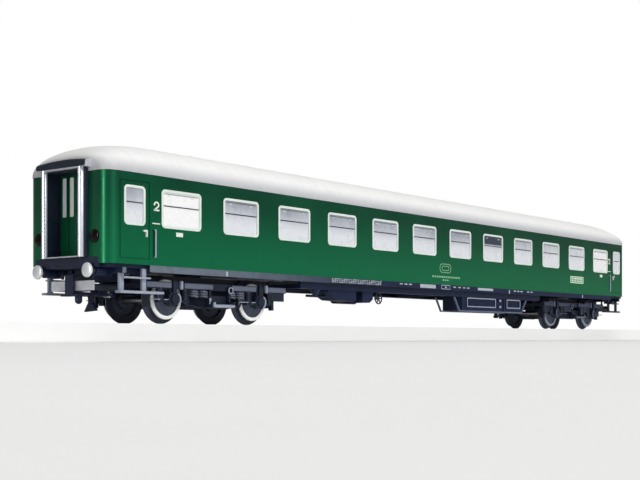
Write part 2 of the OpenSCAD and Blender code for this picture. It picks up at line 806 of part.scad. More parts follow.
// Half section of one wheel, drawn as (radius, distance from the coach's centre line)
module wheel_section() {
    back = back_to_back / 2;
    face = back + tyre_w;
    polygon([[1, back + 0.2], [2, back + 0.2], [2.3, back + 0.9], [4.1, back + 0.7], [4.4, back],
             [flange_r - 0.3, back], [flange_r, back + 0.25], [flange_r - 0.1, back + 0.5],
             [tread_r + 0.35, back + 0.8], [tread_r + 0.08, back + 1.05], [tread_r - 0.05, face - 0.15],
             [tread_r - 0.2, face], [4.5, face], [4.35, face - 0.5], [2.1, face - 0.9], [1.8, face - 0.05],
             [1, face - 0.05]]);
}

module wheels() {
    color("dimgray") both_sides() rotate([-90, 0, 0]) rotate_extrude() wheel_section();
}

// Wheelset n is 1 to 4, counted from the front
module at_wheelset(n) {
    front = n <= 2;
    outer = n == 1 || n == 4;
    at_bogie(front) translate([outer ? -wheelbase / 2 : wheelbase / 2, 0, axle_z]) children();
}

// ---------------------------------------------------------------- couplings, drawn for the -X end

module coupling_hook() {
    hook_x = 148.1;
    color("#1a2130") difference() {
        union() {
            span([-hook_x, -1.6, bar_z], [-coupling_x, 1.6, bar_z + bar_t]);
            translate([-coupling_x, 0, bar_z]) cylinder(r = 2.2, h = bar_t);
            span([-loop_x - 1, -1.6, bar_z], [-loop_x + 1, 1.6, loop_pin_z + 0.9]);
            span([-hook_x - 0.6, -1.6, bar_z], [-hook_x, 1.6, hook_top]);
            span([-hook_x - 0.6, -3.4, bar_z - 0.3], [-hook_x + 1.4, 3.4, bar_z + 0.2]);
            span([-hook_x, -0.8, hook_top - 0.4], [-hook_x + 1.2, 0.8, hook_top]);
        }
        translate([-coupling_x, 0, 0]) cylinder(r = coupling_pin_r + running_gap, h = 20);
        rod_y(-loop_x, loop_pin_z, -4, 4, loop_pin_r + running_gap);
        translate([-coupling_x, 0, bar_z - 1]) cylinder(r = 1.3, h = 1.2);
    }
}

// Wide sheet loop with a round rear bar that turns in the hook's eye
module coupling_loop() {
    arm_y = loop_w / 2;
    color("silver") {
        span([-loop_front_x, -arm_y, loop_bottom], [-loop_front_x + 0.45, arm_y, loop_top]);
        both_sides() span([-loop_front_x, arm_y - 0.5, loop_bottom], [-loop_x + 0.7, arm_y, loop_pin_z + 0.7]);
        rod_y(-loop_x, loop_pin_z, -arm_y + 0.1, arm_y - 0.1, loop_pin_r);
    }
}

module coupling_rivet() {
    color("silver") translate([-coupling_x, 0, 0]) {
        translate([0, 0, bar_z - 0.3]) cylinder(r = 1.2, h = 0.42);
        translate([0, 0, bar_z]) cylinder(r = coupling_pin_r, h = tongue_high - bar_z);
        translate([0, 0, tongue_high]) cylinder(r = 1.2, h = 0.4);
    }
}

// Uncoupling trip under the bar: a stem that flares to a wide foot, and a round guide pin ahead of it
module coupling_trip() {
    color("#1a2130") {
        translate([-142, 0, 0]) along_x(0.8)
            polygon([[-0.9, bar_z], [-0.7, 5.6], [-2.4, 3.4], [2.4, 3.1], [0.7, 5.6], [0.9, bar_z]]);
        translate([-145.6, 0, 6]) cylinder(r = 0.95, h = bar_z - 6);
        translate([-145.6, 0, 6]) sphere(0.95);
    }
}

// ---------------------------------------------------------------- assembly

body_shell();
roof();
window_frames();  // window_frames_left
mirror([0, 1, 0]) window_frames();  // window_frames_right
window_panes();  // window_panes_left
mirror([0, 1, 0]) window_panes();  // window_panes_right
at_end(true) gangway_door();  // gangway_door_front
at_end(false) gangway_door();  // gangway_door_rear
at_end(true) gangway_door_panes();  // gangway_door_panes_front
at_end(false) gangway_door_panes();  // gangway_door_panes_rear
at_end(true) gangway_bellows();  // gangway_bellows_front
at_end(false) gangway_bellows();  // gangway_bellows_rear
at_end(true) gangway_frame();  // gangway_frame_front
at_end(false) gangway_frame();  // gangway_frame_rear
at_end(true) gangway_roof();  // gangway_roof_front
at_end(false) gangway_roof();  // gangway_roof_rear
at_end(true) tail_lamps();  // tail_lamps_front
at_end(false) tail_lamps();  // tail_lamps_rear
door_handles();
door_handrails();
interior();
ballast_weight();
chassis();
chassis_screws();
buffer_sleeves();
buffer_heads();
brake_hoses();
steps_at(true, true);  // steps_front_left
steps_at(true, false);  // steps_front_right
steps_at(false, true);  // steps_rear_left
steps_at(false, false);  // steps_rear_right
battery_box();
battery_box_carrier();
brake_cylinder();
regulator_box();
hand_brake_wheel();
drain_pipe();
air_tanks();
at_bogie(true) bogie_frame();  // bogie_frame_front
at_bogie(false) bogie_frame();  // bogie_frame_rear
at_bogie(true) bogie_screw();  // bogie_screw_front
at_bogie(false) bogie_screw();  // bogie_screw_rear
at_bogie(true) axle_bearings();  // axle_bearings_front
at_bogie(false) axle_bearings();  // axle_bearings_rear
at_wheelset(1) axle();  // wheelset_1_axle
at_wheelset(1) wheels();  // wheelset_1_wheels
at_wheelset(2) axle();  // wheelset_2_axle
at_wheelset(2) wheels();  // wheelset_2_wheels
at_wheelset(3) axle();  // wheelset_3_axle
at_wheelset(3) wheels();  // wheelset_3_wheels
at_wheelset(4) axle();  // wheelset_4_axle
at_wheelset(4) wheels();  // wheelset_4_wheels
at_end(true) coupling_hook();  // coupling_hook_front
at_end(false) coupling_hook();  // coupling_hook_rear
at_end(true) coupling_loop();  // coupling_loop_front
at_end(false) coupling_loop();  // coupling_loop_rear
at_end(true) coupling_rivet();  // coupling_rivet_front
at_end(false) coupling_rivet();  // coupling_rivet_rear
at_end(true) coupling_trip();  // coupling_trip_front
at_end(false) coupling_trip();  // coupling_trip_rear
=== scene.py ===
import math

import bmesh
import bpy
from mathutils import Matrix, Vector


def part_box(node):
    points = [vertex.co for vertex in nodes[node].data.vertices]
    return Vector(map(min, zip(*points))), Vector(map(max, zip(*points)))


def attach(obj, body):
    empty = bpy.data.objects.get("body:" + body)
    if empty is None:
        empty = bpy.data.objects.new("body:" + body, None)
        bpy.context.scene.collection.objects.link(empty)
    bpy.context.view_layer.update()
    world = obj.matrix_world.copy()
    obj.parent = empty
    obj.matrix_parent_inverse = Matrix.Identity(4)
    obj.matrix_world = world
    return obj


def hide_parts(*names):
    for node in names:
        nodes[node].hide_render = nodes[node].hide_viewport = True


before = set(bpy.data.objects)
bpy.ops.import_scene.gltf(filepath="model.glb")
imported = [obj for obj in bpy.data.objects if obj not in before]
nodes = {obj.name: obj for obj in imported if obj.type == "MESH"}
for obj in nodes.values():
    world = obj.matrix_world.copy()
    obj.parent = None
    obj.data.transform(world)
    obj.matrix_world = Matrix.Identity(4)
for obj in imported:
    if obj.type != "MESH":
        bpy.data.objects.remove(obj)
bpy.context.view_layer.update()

# A model passenger coach in 1:87 scale. Mesh code works in millimetres in the coach's own frame:
# +X along the coach, +Z up, the -X end is the front, and the -Y side is the one the camera sees.
MM = 0.001
# The rear end is the front one given a half turn. A side goes with the sign of its Y.
ENDS = (("front", False), ("rear", True))
SIDES = (("right", -1), ("left", 1))
scene = bpy.context.scene


def node_box(node):
    """Lowest and highest corner of a CAD node, in millimetres."""
    low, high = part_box(node)
    return low / MM, high / MM


# ------------------------------------------------------------------ sizes taken from the frame

BODY_LOW, BODY_HIGH = node_box("body_shell")
ROOF_HIGH = node_box("roof")[1]
HALF_W = BODY_HIGH.y
EAVE_Z = BODY_HIGH.z
POST_LOW, POST_HIGH = node_box("gangway_frame_front")
HOOD_LOW, HOOD_HIGH = node_box("gangway_roof_front")
HEADS_LOW, HEADS_HIGH = node_box("buffer_heads")
BOGIE_X = -sum(v.x for v in node_box("bogie_screw_front")) / 2
AXLE_Z = sum(v.z for v in node_box("wheelset_1_axle")) / 2
AXLE_OFFSET = abs(sum(v.x for v in node_box("wheelset_1_axle")) / 2) - BOGIE_X
BATTERY_LOW = node_box("battery_box")[0]
LAMP_LOW, LAMP_HIGH = node_box("tail_lamps_front")
STEP_LOW = node_box("steps_front_right")[0]
WHEEL_TOP = node_box("wheelset_1_wheels")[1].z

# Windows: twelve in each side at an even pitch, and one in each side door
WINDOW_COUNT = 12
WINDOW_PITCH = 22.65
WINDOW_W = 14.2
WINDOW_H = 10.2
WINDOW_Z = 30.2
FRAME_W = 0.65
DOOR_X = 140.7
DOOR_WINDOW_W = 7.0
WINDOW_XS = [(i - (WINDOW_COUNT - 1) / 2) * WINDOW_PITCH for i in range(WINDOW_COUNT)]
WINDOW_TOP = WINDOW_Z + WINDOW_H / 2
SASH_Z = WINDOW_TOP - 0.42 * WINDOW_H


# ------------------------------------------------------------------ node and material helpers

def linear(hex_colour):
    """Turns an sRGB hex colour into linear red, green, blue and alpha."""
    parts = [int(hex_colour[i:i + 2], 16) / 255 for i in (1, 3, 5)]
    parts = [c / 12.92 if c <= 0.04045 else ((c + 0.055) / 1.055) ** 2.4 for c in parts]
    return (*parts, 1.0)


def add(tree, kind, inputs=None, **settings):
    """Adds a node to a tree, sets its properties, and sets or links its inputs."""
    node = tree.nodes.new(kind)
    for name, value in settings.items():
        setattr(node, name, value)
    for key, value in (inputs or {}).items():
        if isinstance(value, bpy.types.NodeSocket):
            tree.links.new(value, node.inputs[key])
        else:
            node.inputs[key].default_value = value
    return node


# Input and output numbers of a Mix node that mixes colours
MIX_A, MIX_B, MIX_COLOUR = 6, 7, 2


def finish_of(name, **shader_values):
    """A new material: its tree, its Principled shader with the constant values on its own sockets,
    and Object coordinates in millimetres for its patterns."""
    material = bpy.data.materials.new(name)
    material.use_nodes = True
    tree = material.node_tree
    tree.nodes.clear()
    shader = add(tree, "ShaderNodeBsdfPrincipled",
                 {key.replace("_", " "): value for key, value in shader_values.items()})
    add(tree, "ShaderNodeOutputMaterial", {"Surface": shader.outputs[0]})
    metres = add(tree, "ShaderNodeTexCoord").outputs["Object"]
    place = add(tree, "ShaderNodeVectorMath", {0: metres, "Scale": 1 / MM}, operation="SCALE")
    return material, tree, shader, place.outputs[0]


def blotches(tree, place, size_mm, detail=3.0):
    """Soft noise with blotches of the given size."""
    return add(tree, "ShaderNodeTexNoise",
               {"Vector": place, "Scale": 1 / size_mm, "Detail": detail}).outputs["Fac"]


def set_colour(tree, shader, colour):
    """Gives the shader a colour pattern."""
    tree.links.new(colour, shader.inputs["Base Color"])


def set_roughness(tree, shader, pattern, low, high):
    """Varies the roughness between two values with a pattern."""
    ranged = add(tree, "ShaderNodeMapRange",
                 {"Value": pattern, "From Min": 0.3, "From Max": 0.7, "To Min": low, "To Max": high})
    tree.links.new(ranged.outputs[0], shader.inputs["Roughness"])


def set_relief(tree, shader, height, depth_mm, strength=0.5):
    """Raises a pattern from the surface by a depth in millimetres."""
    bump = add(tree, "ShaderNodeBump", {"Height": height, "Distance": depth_mm * MM, "Strength": strength})
    tree.links.new(bump.outputs[0], shader.inputs["Normal"])


def blend_colours(tree, share, first, second):
    """Colour output that goes from the first colour to the second; either may be hex or a socket."""
    first = linear(first) if isinstance(first, str) else first
    second = linear(second) if isinstance(second, str) else second
    return add(tree, "ShaderNodeMix", {0: share, MIX_A: first, MIX_B: second},
               data_type="RGBA").outputs[MIX_COLOUR]


def moulded_plastic(name, dark, light, grain_mm, roughness):
    """Injection-moulded polystyrene: fine spark-eroded grain, a soft sheen and slight cloudiness."""
    material, tree, shader, place = finish_of(name, IOR=1.59, Specular_IOR_Level=0.3)
    colour = blend_colours(tree, blotches(tree, place, 6.0), dark, light)
    set_colour(tree, shader, colour)
    set_roughness(tree, shader, blotches(tree, place, 2.5), roughness - 0.07, roughness + 0.08)
    set_relief(tree, shader, blotches(tree, place, grain_mm, 5.0), 0.03)
    return material


def bright_metal(name, dark, light, roughness, line_mm, metallic=1.0):
    """Turned or drawn metal: fine lines left by the tool, and slightly brighter and duller patches."""
    material, tree, shader, place = finish_of(name, Metallic=metallic)
    colour = blend_colours(tree, blotches(tree, place, 3.0), dark, light)
    set_colour(tree, shader, colour)
    set_roughness(tree, shader, blotches(tree, place, 3.0), roughness - 0.03, roughness + 0.05)
    stretched = add(tree, "ShaderNodeVectorMath", {0: place, 1: (0.15, 1.0, 1.0)}, operation="MULTIPLY")
    set_relief(tree, shader, blotches(tree, stretched.outputs[0], line_mm, 4.0), 0.004, 0.3)
    return material


# ------------------------------------------------------------------ materials

# The window, counted from the front, whose upper sash is shown let down on the right side by painted shade
OPEN_SASH = 7


def make_green_enamel():
    """Chrome-oxide green satin enamel sprayed on polystyrene: even, with a soft wide highlight,
    painted darker towards the eaves as painted shade, and faintly cloudy from the spray."""
    material, tree, shader, place = finish_of("chrome_oxide_green_enamel", IOR=1.5,
                                              Specular_IOR_Level=0.6, Specular_Tint=linear("#55cf93"))
    split = add(tree, "ShaderNodeSeparateXYZ", {0: place})
    rise = add(tree, "ShaderNodeMapRange", {"Value": split.outputs["Z"], "From Min": BODY_LOW.z,
                                            "From Max": EAVE_Z}, interpolation_type="SMOOTHSTEP")
    # Painted shade: the green is painted darker towards the eaves.
    painted_shade_by_height = blend_colours(tree, rise.outputs[0], "#0b5f3d", "#0a3426")
    cloud = add(tree, "ShaderNodeMapRange", {"Value": blotches(tree, place, 24.0), "From Min": 0.35,
                                             "From Max": 0.7, "To Max": 0.4})
    colour = blend_colours(tree, cloud.outputs[0], painted_shade_by_height, "#0d5a38")
    set_colour(tree, shader, colour)
    set_roughness(tree, shader, blotches(tree, place, 5.0), 0.28, 0.38)
    set_relief(tree, shader, blotches(tree, place, 0.5), 0.012, 0.35)
    return material


def make_roof_lacquer():
    """Pale grey matt lacquer on polystyrene: chalky, painted greyer along the gutter as painted shade,
    with faint streaks that run down the slope."""
    material, tree, shader, place = finish_of("pale_grey_roof_lacquer", IOR=1.5)
    split = add(tree, "ShaderNodeSeparateXYZ", {0: place})
    rise = add(tree, "ShaderNodeMapRange", {"Value": split.outputs["Z"], "From Min": EAVE_Z,
                                            "From Max": EAVE_Z + 4.5}, interpolation_type="SMOOTHSTEP")
    # Painted shade: the lacquer is painted greyer along the gutter.
    painted_shade_by_height = blend_colours(tree, rise.outputs[0], "#b9babe", "#efefee")
    streaked = add(tree, "ShaderNodeVectorMath", {0: place, 1: (1.0, 0.12, 0.12)}, operation="MULTIPLY")
    streaks = add(tree, "ShaderNodeMapRange", {"Value": blotches(tree, streaked.outputs[0], 1.8),
                                               "From Min": 0.45, "From Max": 0.75, "To Max": 0.22})
    colour = blend_colours(tree, streaks.outputs[0], painted_shade_by_height, "#cdced1")
    set_colour(tree, shader, colour)
    set_roughness(tree, shader, blotches(tree, place, 4.0), 0.5, 0.62)
    set_relief(tree, shader, blotches(tree, place, 0.4), 0.01, 0.4)
    return material


def make_pane(side):
    """Clear polystyrene strip backed with frosted paper: pale, painted greyer behind the upper sash as painted
    shade and paler towards the rear as painted reflection, with a glossy face. The end windows are white and
    one open sash is painted dark as painted shade."""
    material, tree, shader, place = finish_of("frosted_polystyrene_glazing_" + side, IOR=1.59,
                                              Coat_Weight=0.5, Coat_Roughness=0.08)
    split = add(tree, "ShaderNodeSeparateXYZ", {0: place})
    x, z = split.outputs["X"], split.outputs["Z"]
    # Painted shade: the panes are painted greyer behind the upper sash.
    rise = add(tree, "ShaderNodeMapRange", {"Value": z, "From Min": SASH_Z - 3.5, "From Max": WINDOW_TOP - 0.4},
               interpolation_type="SMOOTHSTEP")
    sheen = blend_colours(tree, rise.outputs[0], "#e0e2e8", "#858b98")
    soft = add(tree, "ShaderNodeMapRange", {"Value": blotches(tree, place, 9.0), "From Min": 0.3,
                                            "From Max": 0.75, "To Max": 0.45})
    sheen = blend_colours(tree, soft.outputs[0], sheen, "#dfe1e8")
    # Painted reflection: the panes are painted paler towards the rear.
    paler = add(tree, "ShaderNodeMapRange",
                {"Value": x, "From Min": 30.0, "From Max": 110.0, "To Max": 0.7})
    sheen = blend_colours(tree, paler.outputs[0], sheen, "#e8eaef")
    distance = add(tree, "ShaderNodeMath", {0: x}, operation="ABSOLUTE")
    end_window = add(tree, "ShaderNodeMath", {0: distance.outputs[0], 1: WINDOW_XS[-1], 2: WINDOW_W / 2},
                     operation="COMPARE")
    colour = blend_colours(tree, end_window.outputs[0], sheen, "#f6f6f6")
    if side == "right":
        open_sash = add(tree, "ShaderNodeMath", {0: x, 1: WINDOW_XS[OPEN_SASH], 2: WINDOW_W / 2},
                        operation="COMPARE")
        above = add(tree, "ShaderNodeMath", {0: z, 1: SASH_Z + 0.5}, operation="GREATER_THAN")
        dark = add(tree, "ShaderNodeMath", {0: open_sash.outputs[0], 1: above.outputs[0]},
                   operation="MULTIPLY")
        # Painted shade: the upper half of the open-sash window is painted dark for the shaded inside behind it.
        colour = blend_colours(tree, dark.outputs[0], colour, "#2c3848")
    set_colour(tree, shader, colour)
    set_roughness(tree, shader, blotches(tree, place, 3.0), 0.22, 0.38)
    return material


def make_underframe():
    """Blue-black moulded polystyrene: fine grain and a dull sheen. Patchy pale grey painted light lies on the
    outer faces of the sills, strongest by the front bogie and fading out along the coach."""
    material, tree, shader, place = finish_of("blue_black_moulded_polystyrene", IOR=1.59,
                                              Specular_IOR_Level=0.25)
    split = add(tree, "ShaderNodeSeparateXYZ", {0: place})
    # Painted light: the outer sill faces are painted paler by the front bogie, fading along the coach.
    along = add(tree, "ShaderNodeMapRange", {"Value": split.outputs["X"], "From Min": -BOGIE_X - 25,
                                             "From Max": -30.0, "To Min": 1.0, "To Max": 0.0},
                interpolation_type="SMOOTHSTEP")
    across = add(tree, "ShaderNodeMath", {0: split.outputs["Y"]}, operation="ABSOLUTE")
    outer = add(tree, "ShaderNodeMath", {0: across.outputs[0], 1: HALF_W - 0.3}, operation="GREATER_THAN")
    painted_sill_light = add(tree, "ShaderNodeMath", {0: along.outputs[0], 1: outer.outputs[0]}, operation="MULTIPLY")
    patchy = add(tree, "ShaderNodeMapRange", {"Value": blotches(tree, place, 2.2), "From Min": 0.25,
                                              "From Max": 0.6, "To Min": 0.75})
    share = add(tree, "ShaderNodeMath", {0: painted_sill_light.outputs[0], 1: patchy.outputs[0]}, operation="MULTIPLY")
    base = blend_colours(tree, blotches(tree, place, 5.0), "#06112a", "#102146")
    set_colour(tree, shader, blend_colours(tree, share.outputs[0], base, "#68737f"))
    set_roughness(tree, shader, blotches(tree, place, 2.5), 0.42, 0.58)
    set_relief(tree, shader, blotches(tree, place, 0.35, 5.0), 0.03)
    return material


def make_lamp_glass():
    """Maroon moulded lamp lens: nearly black in the depth, with a smooth face."""
    material, tree, shader, place = finish_of("maroon_lamp_lens", IOR=1.5, Specular_IOR_Level=0.15)
    colour = blend_colours(tree, blotches(tree, place, 1.0), "#050102", "#0e0203")
    set_colour(tree, shader, colour)
    set_roughness(tree, shader, blotches(tree, place, 0.8), 0.18, 0.3)
    return material


def make_transfer_print(name, dark, light):
    """Transfer printing on the enamel: flat and slightly broken where the paint shows through."""
    material, tree, shader, place = finish_of(name, IOR=1.5, Specular_IOR_Level=0.3)
    colour = blend_colours(tree, blotches(tree, place, 0.8), dark, light)
    set_colour(tree, shader, colour)
    set_roughness(tree, shader, blotches(tree, place, 1.2), 0.4, 0.55)
    return material


def make_pleated_rubber():
    """Blue-black rubberised cloth: matt with a fine weave and faint mottling."""
    material, tree, shader, place = finish_of("rubberised_cloth", IOR=1.52, Specular_IOR_Level=0.25)
    colour = blend_colours(tree, blotches(tree, place, 4.0), "#081423", "#132136")
    set_colour(tree, shader, colour)
    # Real weave at 0.05 mm would vanish, so it is drawn at 0.4 mm.
    weave = add(tree, "ShaderNodeTexWave", {"Vector": place, "Scale": 1 / 0.4 / 6.28, "Distortion": 0.4},
                bands_direction="Z")
    set_roughness(tree, shader, blotches(tree, place, 2.0), 0.5, 0.7)
    set_relief(tree, shader, weave.outputs["Fac"], 0.02, 0.4)
    return material


GREEN = make_green_enamel()
ROOF = make_roof_lacquer()
PANE_LEFT = make_pane("left")
PANE_RIGHT = make_pane("right")
UNDERFRAME = make_underframe()
LAMP = make_lamp_glass()
PRINT = make_transfer_print("cream_transfer_print", "#cfdccb", "#eef3e6")
MUTED_PRINT = make_transfer_print("muted_green_transfer_print", "#5f9a74", "#9cc3a2")
SILL_PRINT = make_transfer_print("grey_transfer_print", "#8f99a4", "#c3cad0")
RUBBER = make_pleated_rubber()
# Window trim: satin silver ink stamped on the moulded frame, pale and slightly warm
TRIM = moulded_plastic("silver_stamped_trim", "#cfdad2", "#e9f0ea", 0.4, 0.38)
# Bogie side castings: dark moulded acetal, a little greyer than the underframe
BOGIE_DARK = moulded_plastic("dark_moulded_acetal", "#0a1222", "#172238", 0.4, 0.45)
# Raised beam faces of the front bogie: the same moulding painted grey as painted light
BOGIE_GREY = moulded_plastic("painted_light_grey_acetal", "#525869", "#6b7184", 0.4, 0.5)
# Rear bogie: the same faces and fittings, painted nearly as dark as the casting as painted shade
BOGIE_SHADE = moulded_plastic("painted_shade_dark_acetal", "#2a3146", "#3c445a", 0.4, 0.48)
# Battery box hanger: mid grey moulding
MID_GREY = moulded_plastic("mid_grey_polystyrene", "#525b70", "#6f7890", 0.35, 0.48)
# Bogie straps, handrails and front steps: pale grey moulding; on the front straps and steps the paleness is
# painted light
PALE_GREY = moulded_plastic("pale_grey_polystyrene", "#8c94a6", "#a8b0c0", 0.35, 0.45)
# Gangway door panes: frosted polystyrene, white with a faint green cast
FROSTED = moulded_plastic("frosted_polystyrene", "#eef9f0", "#ffffff", 0.4, 0.4)
# Interior: tan polystyrene
TAN = moulded_plastic("tan_polystyrene", "#a98c62", "#bfa274", 0.4, 0.55)
# Gangway posts: aluminium paint, so half the light comes from flakes and half from the clear binder
SILVER = bright_metal("satin_aluminium_paint", "#bfc5cf", "#e0e4ea", 0.3, 0.5, 0.5)
# Buffer heads: turned nickel plate dulled by a film of fine dust, which scatters light
NICKEL = bright_metal("dusty_nickel_plate", "#dde1e5", "#f5f7f9", 0.34, 0.25, 0.3)
# Rims of the front bogie: nickel plate painted almost white as a painted highlight
NICKEL_PAINTED_HIGHLIGHT = bright_metal("nickel_plate_painted_highlight", "#f4f5f6", "#ffffff", 0.34, 0.25, 0.05)
# Rims of the rear bogie: the same nickel plate painted bluish grey as painted shade
NICKEL_PAINTED_SHADE = bright_metal("nickel_plate_painted_shade", "#7f8698", "#a0a6b6", 0.4, 0.25, 0.3)
# Axles, screws and rivets: drawn steel
STEEL = bright_metal("drawn_steel", "#9a9da2", "#c4c6ca", 0.3, 0.2)
# Ballast: blued sheet steel
BALLAST = bright_metal("blued_sheet_steel", "#4a4d53", "#6b6e74", 0.42, 0.6)
# Bearing cups: drawn brass
BRASS = bright_metal("drawn_brass", "#b08a3c", "#d2ac58", 0.28, 0.2)
# Tyres, buffer stems and gangway rivets: chemically blackened steel, dull and nearly black
BLACKENED = bright_metal("chemically_blackened_steel", "#2c3240", "#3f4656", 0.5, 0.3, 0.5)
# Wheel discs: the same blackening worn to grey
WORN_DISC = bright_metal("worn_blackened_steel", "#4a5163", "#656d80", 0.5, 0.3, 0.5)


def make_loop_finish(front_x):
    """Blackened sheet steel whose front strip is painted bright as a painted reflection."""
    material, tree, shader, place = finish_of("coupling_sheet_painted_reflection", Metallic=0.4)
    split = add(tree, "ShaderNodeSeparateXYZ", {0: place})
    distance = add(tree, "ShaderNodeMath", {0: split.outputs["X"]}, operation="ABSOLUTE")
    front = add(tree, "ShaderNodeMath", {0: distance.outputs[0], 1: front_x}, operation="GREATER_THAN")
    # Painted reflection: the front strip is painted pale.
    painted_reflection_strip = blend_colours(tree, blotches(tree, place, 3.0), "#c6c9d2", "#e2e4ea")
    dark = blend_colours(tree, blotches(tree, place, 2.0), "#161c2a", "#252d3e")
    set_colour(tree, shader, blend_colours(tree, front.outputs[0], dark, painted_reflection_strip))
    set_roughness(tree, shader, blotches(tree, place, 1.5), 0.36, 0.5)
    set_relief(tree, shader, blotches(tree, place, 0.3, 4.0), 0.006, 0.4)
    return material


LOOP = make_loop_finish(-node_box("coupling_loop_front")[0].x - 0.4)

# The front steps are pale grey as painted light and the rear ones dark in the bogie plastic as painted shade.
STEP_FINISH = {"front": PALE_GREY, "rear": BOGIE_DARK}

CAD_FINISHES = {
    "body_shell": GREEN, "window_frames_left": TRIM, "window_frames_right": TRIM,
    "window_panes_left": PANE_LEFT, "window_panes_right": PANE_RIGHT,
    "door_handles": TRIM, "door_handrails": PALE_GREY, "interior": TAN, "ballast_weight": BALLAST,
    "chassis": UNDERFRAME, "chassis_screws": STEEL, "buffer_sleeves": UNDERFRAME,
    "brake_hoses": RUBBER, "battery_box": UNDERFRAME,
    "battery_box_carrier": MID_GREY, "brake_cylinder": UNDERFRAME, "regulator_box": UNDERFRAME,
    "hand_brake_wheel": BOGIE_DARK, "drain_pipe": UNDERFRAME, "air_tanks": UNDERFRAME,
}
for end in ("front", "rear"):
    CAD_FINISHES.update({
        "gangway_door_" + end: GREEN, "gangway_door_panes_" + end: FROSTED, "gangway_bellows_" + end: RUBBER,
        "bogie_frame_" + end: BOGIE_DARK, "bogie_screw_" + end: STEEL,
        "axle_bearings_" + end: BRASS, "coupling_hook_" + end: UNDERFRAME, "coupling_loop_" + end: LOOP,
        "coupling_rivet_" + end: STEEL, "coupling_trip_" + end: UNDERFRAME,
        "steps_" + end + "_left": STEP_FINISH[end], "steps_" + end + "_right": STEP_FINISH[end],
    })
for number in range(1, 5):
    CAD_FINISHES["wheelset_%d_axle" % number] = STEEL
for name, material in CAD_FINISHES.items():
    for slot in nodes[name].material_slots:
        slot.material = material


# ------------------------------------------------------------------ mesh helpers, in millimetres

def loft(bm, rings, closed=False):
    """Skins a row of closed rings of equal length, with flat ends or, if closed, round to the start."""
    made = [[bm.verts.new(point) for point in ring] for ring in rings]
    following = made[1:] + made[:1] if closed else made[1:]
    for one, two in zip(made, following):
        for i in range(len(one)):
            j = (i + 1) % len(one)
            bm.faces.new((one[i], one[j], two[j], two[i]))
    if not closed:
        bm.faces.new(made[0][::-1])
        bm.faces.new(made[-1])
    return made


def tube(bm, path, radius, sides=10):
    """A round tube along a path of points."""
    path = [Vector(p) for p in path]
    rings = []
    for i, point in enumerate(path):
        run = (path[min(i + 1, len(path) - 1)] - path[max(i - 1, 0)]).normalized()
        side = run.orthogonal() if i == 0 else side - run * side.dot(run)
        side.normalize()
        up = run.cross(side)
        turns = [math.tau * k / sides for k in range(sides)]
        rings.append([point + radius * (math.cos(t) * side + math.sin(t) * up) for t in turns])
    loft(bm, rings)


def lathe(bm, profile, centre, steps=48, along_x=False):
    """Turns a closed outline of (radius, distance) about an axis through centre along Y, or along X."""
    rings = []
    for k in range(steps):
        s, c = math.sin(math.tau * k / steps), math.cos(math.tau * k / steps)
        points = [Vector((d, r * s, r * c) if along_x else (r * s, d, r * c)) for r, d in profile]
        rings.append([Vector(centre) + point for point in points])
    made = loft(bm, rings, closed=True)
    bmesh.ops.remove_doubles(bm, verts=[v for ring in made for v in ring], dist=1e-4)


def round_outline(w, h, r, steps=5):
    """Points of a centred rectangle with round corners."""
    points = []
    for k, (sx, sy) in enumerate([(1, 1), (-1, 1), (-1, -1), (1, -1)]):
        for i in range(steps + 1):
            a = math.radians(90 * (k + i / steps))
            points.append((sx * (w / 2 - r) + r * math.cos(a), sy * (h / 2 - r) + r * math.sin(a)))
    return points


def side_plate(bm, x, z, w, h, r, y_in, y_out, edge=0.08):
    """A round-cornered plate on a side face, between two values of Y, with a broken outer edge."""
    step = edge if y_out > y_in else -edge
    rings = [(w, h, r, y_in), (w, h, r, y_out - step),
             (w - 2 * edge, h - 2 * edge, max(r - edge, 0.02), y_out)]
    loft(bm, [[(x + u, y, z + v) for u, v in round_outline(a, b, c)] for a, b, c, y in rings])


def side_frame(bm, x, z, w, h, r, strip, y_in, y_out):
    """A flat round-cornered frame of strip width on a side face."""
    outer = round_outline(w, h, r)
    inner = round_outline(w - 2 * strip, h - 2 * strip, max(r - strip, 0.05))
    rings = []
    for (ou, ov), (iu, iv) in zip(outer, inner):
        corners = ((ou, ov, y_in), (ou, ov, y_out), (iu, iv, y_out), (iu, iv, y_in))
        rings.append([(x + u, y, z + v) for u, v, y in corners])
    loft(bm, rings, closed=True)


def block(bm, low, high, edge=0.06):
    """A box between two corners with rounded edges."""
    low, high = Vector(low), Vector(high)
    centre, size = (low + high) / 2, high - low
    shape = Matrix.Translation(centre) @ Matrix.Diagonal((*size, 1))
    made = bmesh.ops.create_cube(bm, size=1, matrix=shape)
    edges = list({e for v in made["verts"] for e in v.link_edges})
    bmesh.ops.bevel(bm, geom=edges, offset=min(edge, min(size) * 0.3), segments=2, affect="EDGES")


def ribbon(bm, path, width, y_in, y_out):
    """A flat stroke along a path of (x, z) points on a side face."""
    points = [Vector((p[0], p[1])) for p in path]
    rings = []
    for i, point in enumerate(points):
        run = (points[min(i + 1, len(points) - 1)] - points[max(i - 1, 0)]).normalized()
        out = Vector((-run.y, run.x)) * width / 2
        a, b = point + out, point - out
        rings.append([(a.x, y_in, a.y), (a.x, y_out, a.y), (b.x, y_out, b.y), (b.x, y_in, b.y)])
    loft(bm, rings)


HALF_TURN = Matrix.Rotation(math.pi, 4, "Z")


def place_piece(obj, body, replaces=()):
    """Hangs a finished piece on the body it rides on, and hides the CAD nodes it stands for."""
    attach(obj, body)
    if replaces:
        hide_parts(*replaces)
    return obj


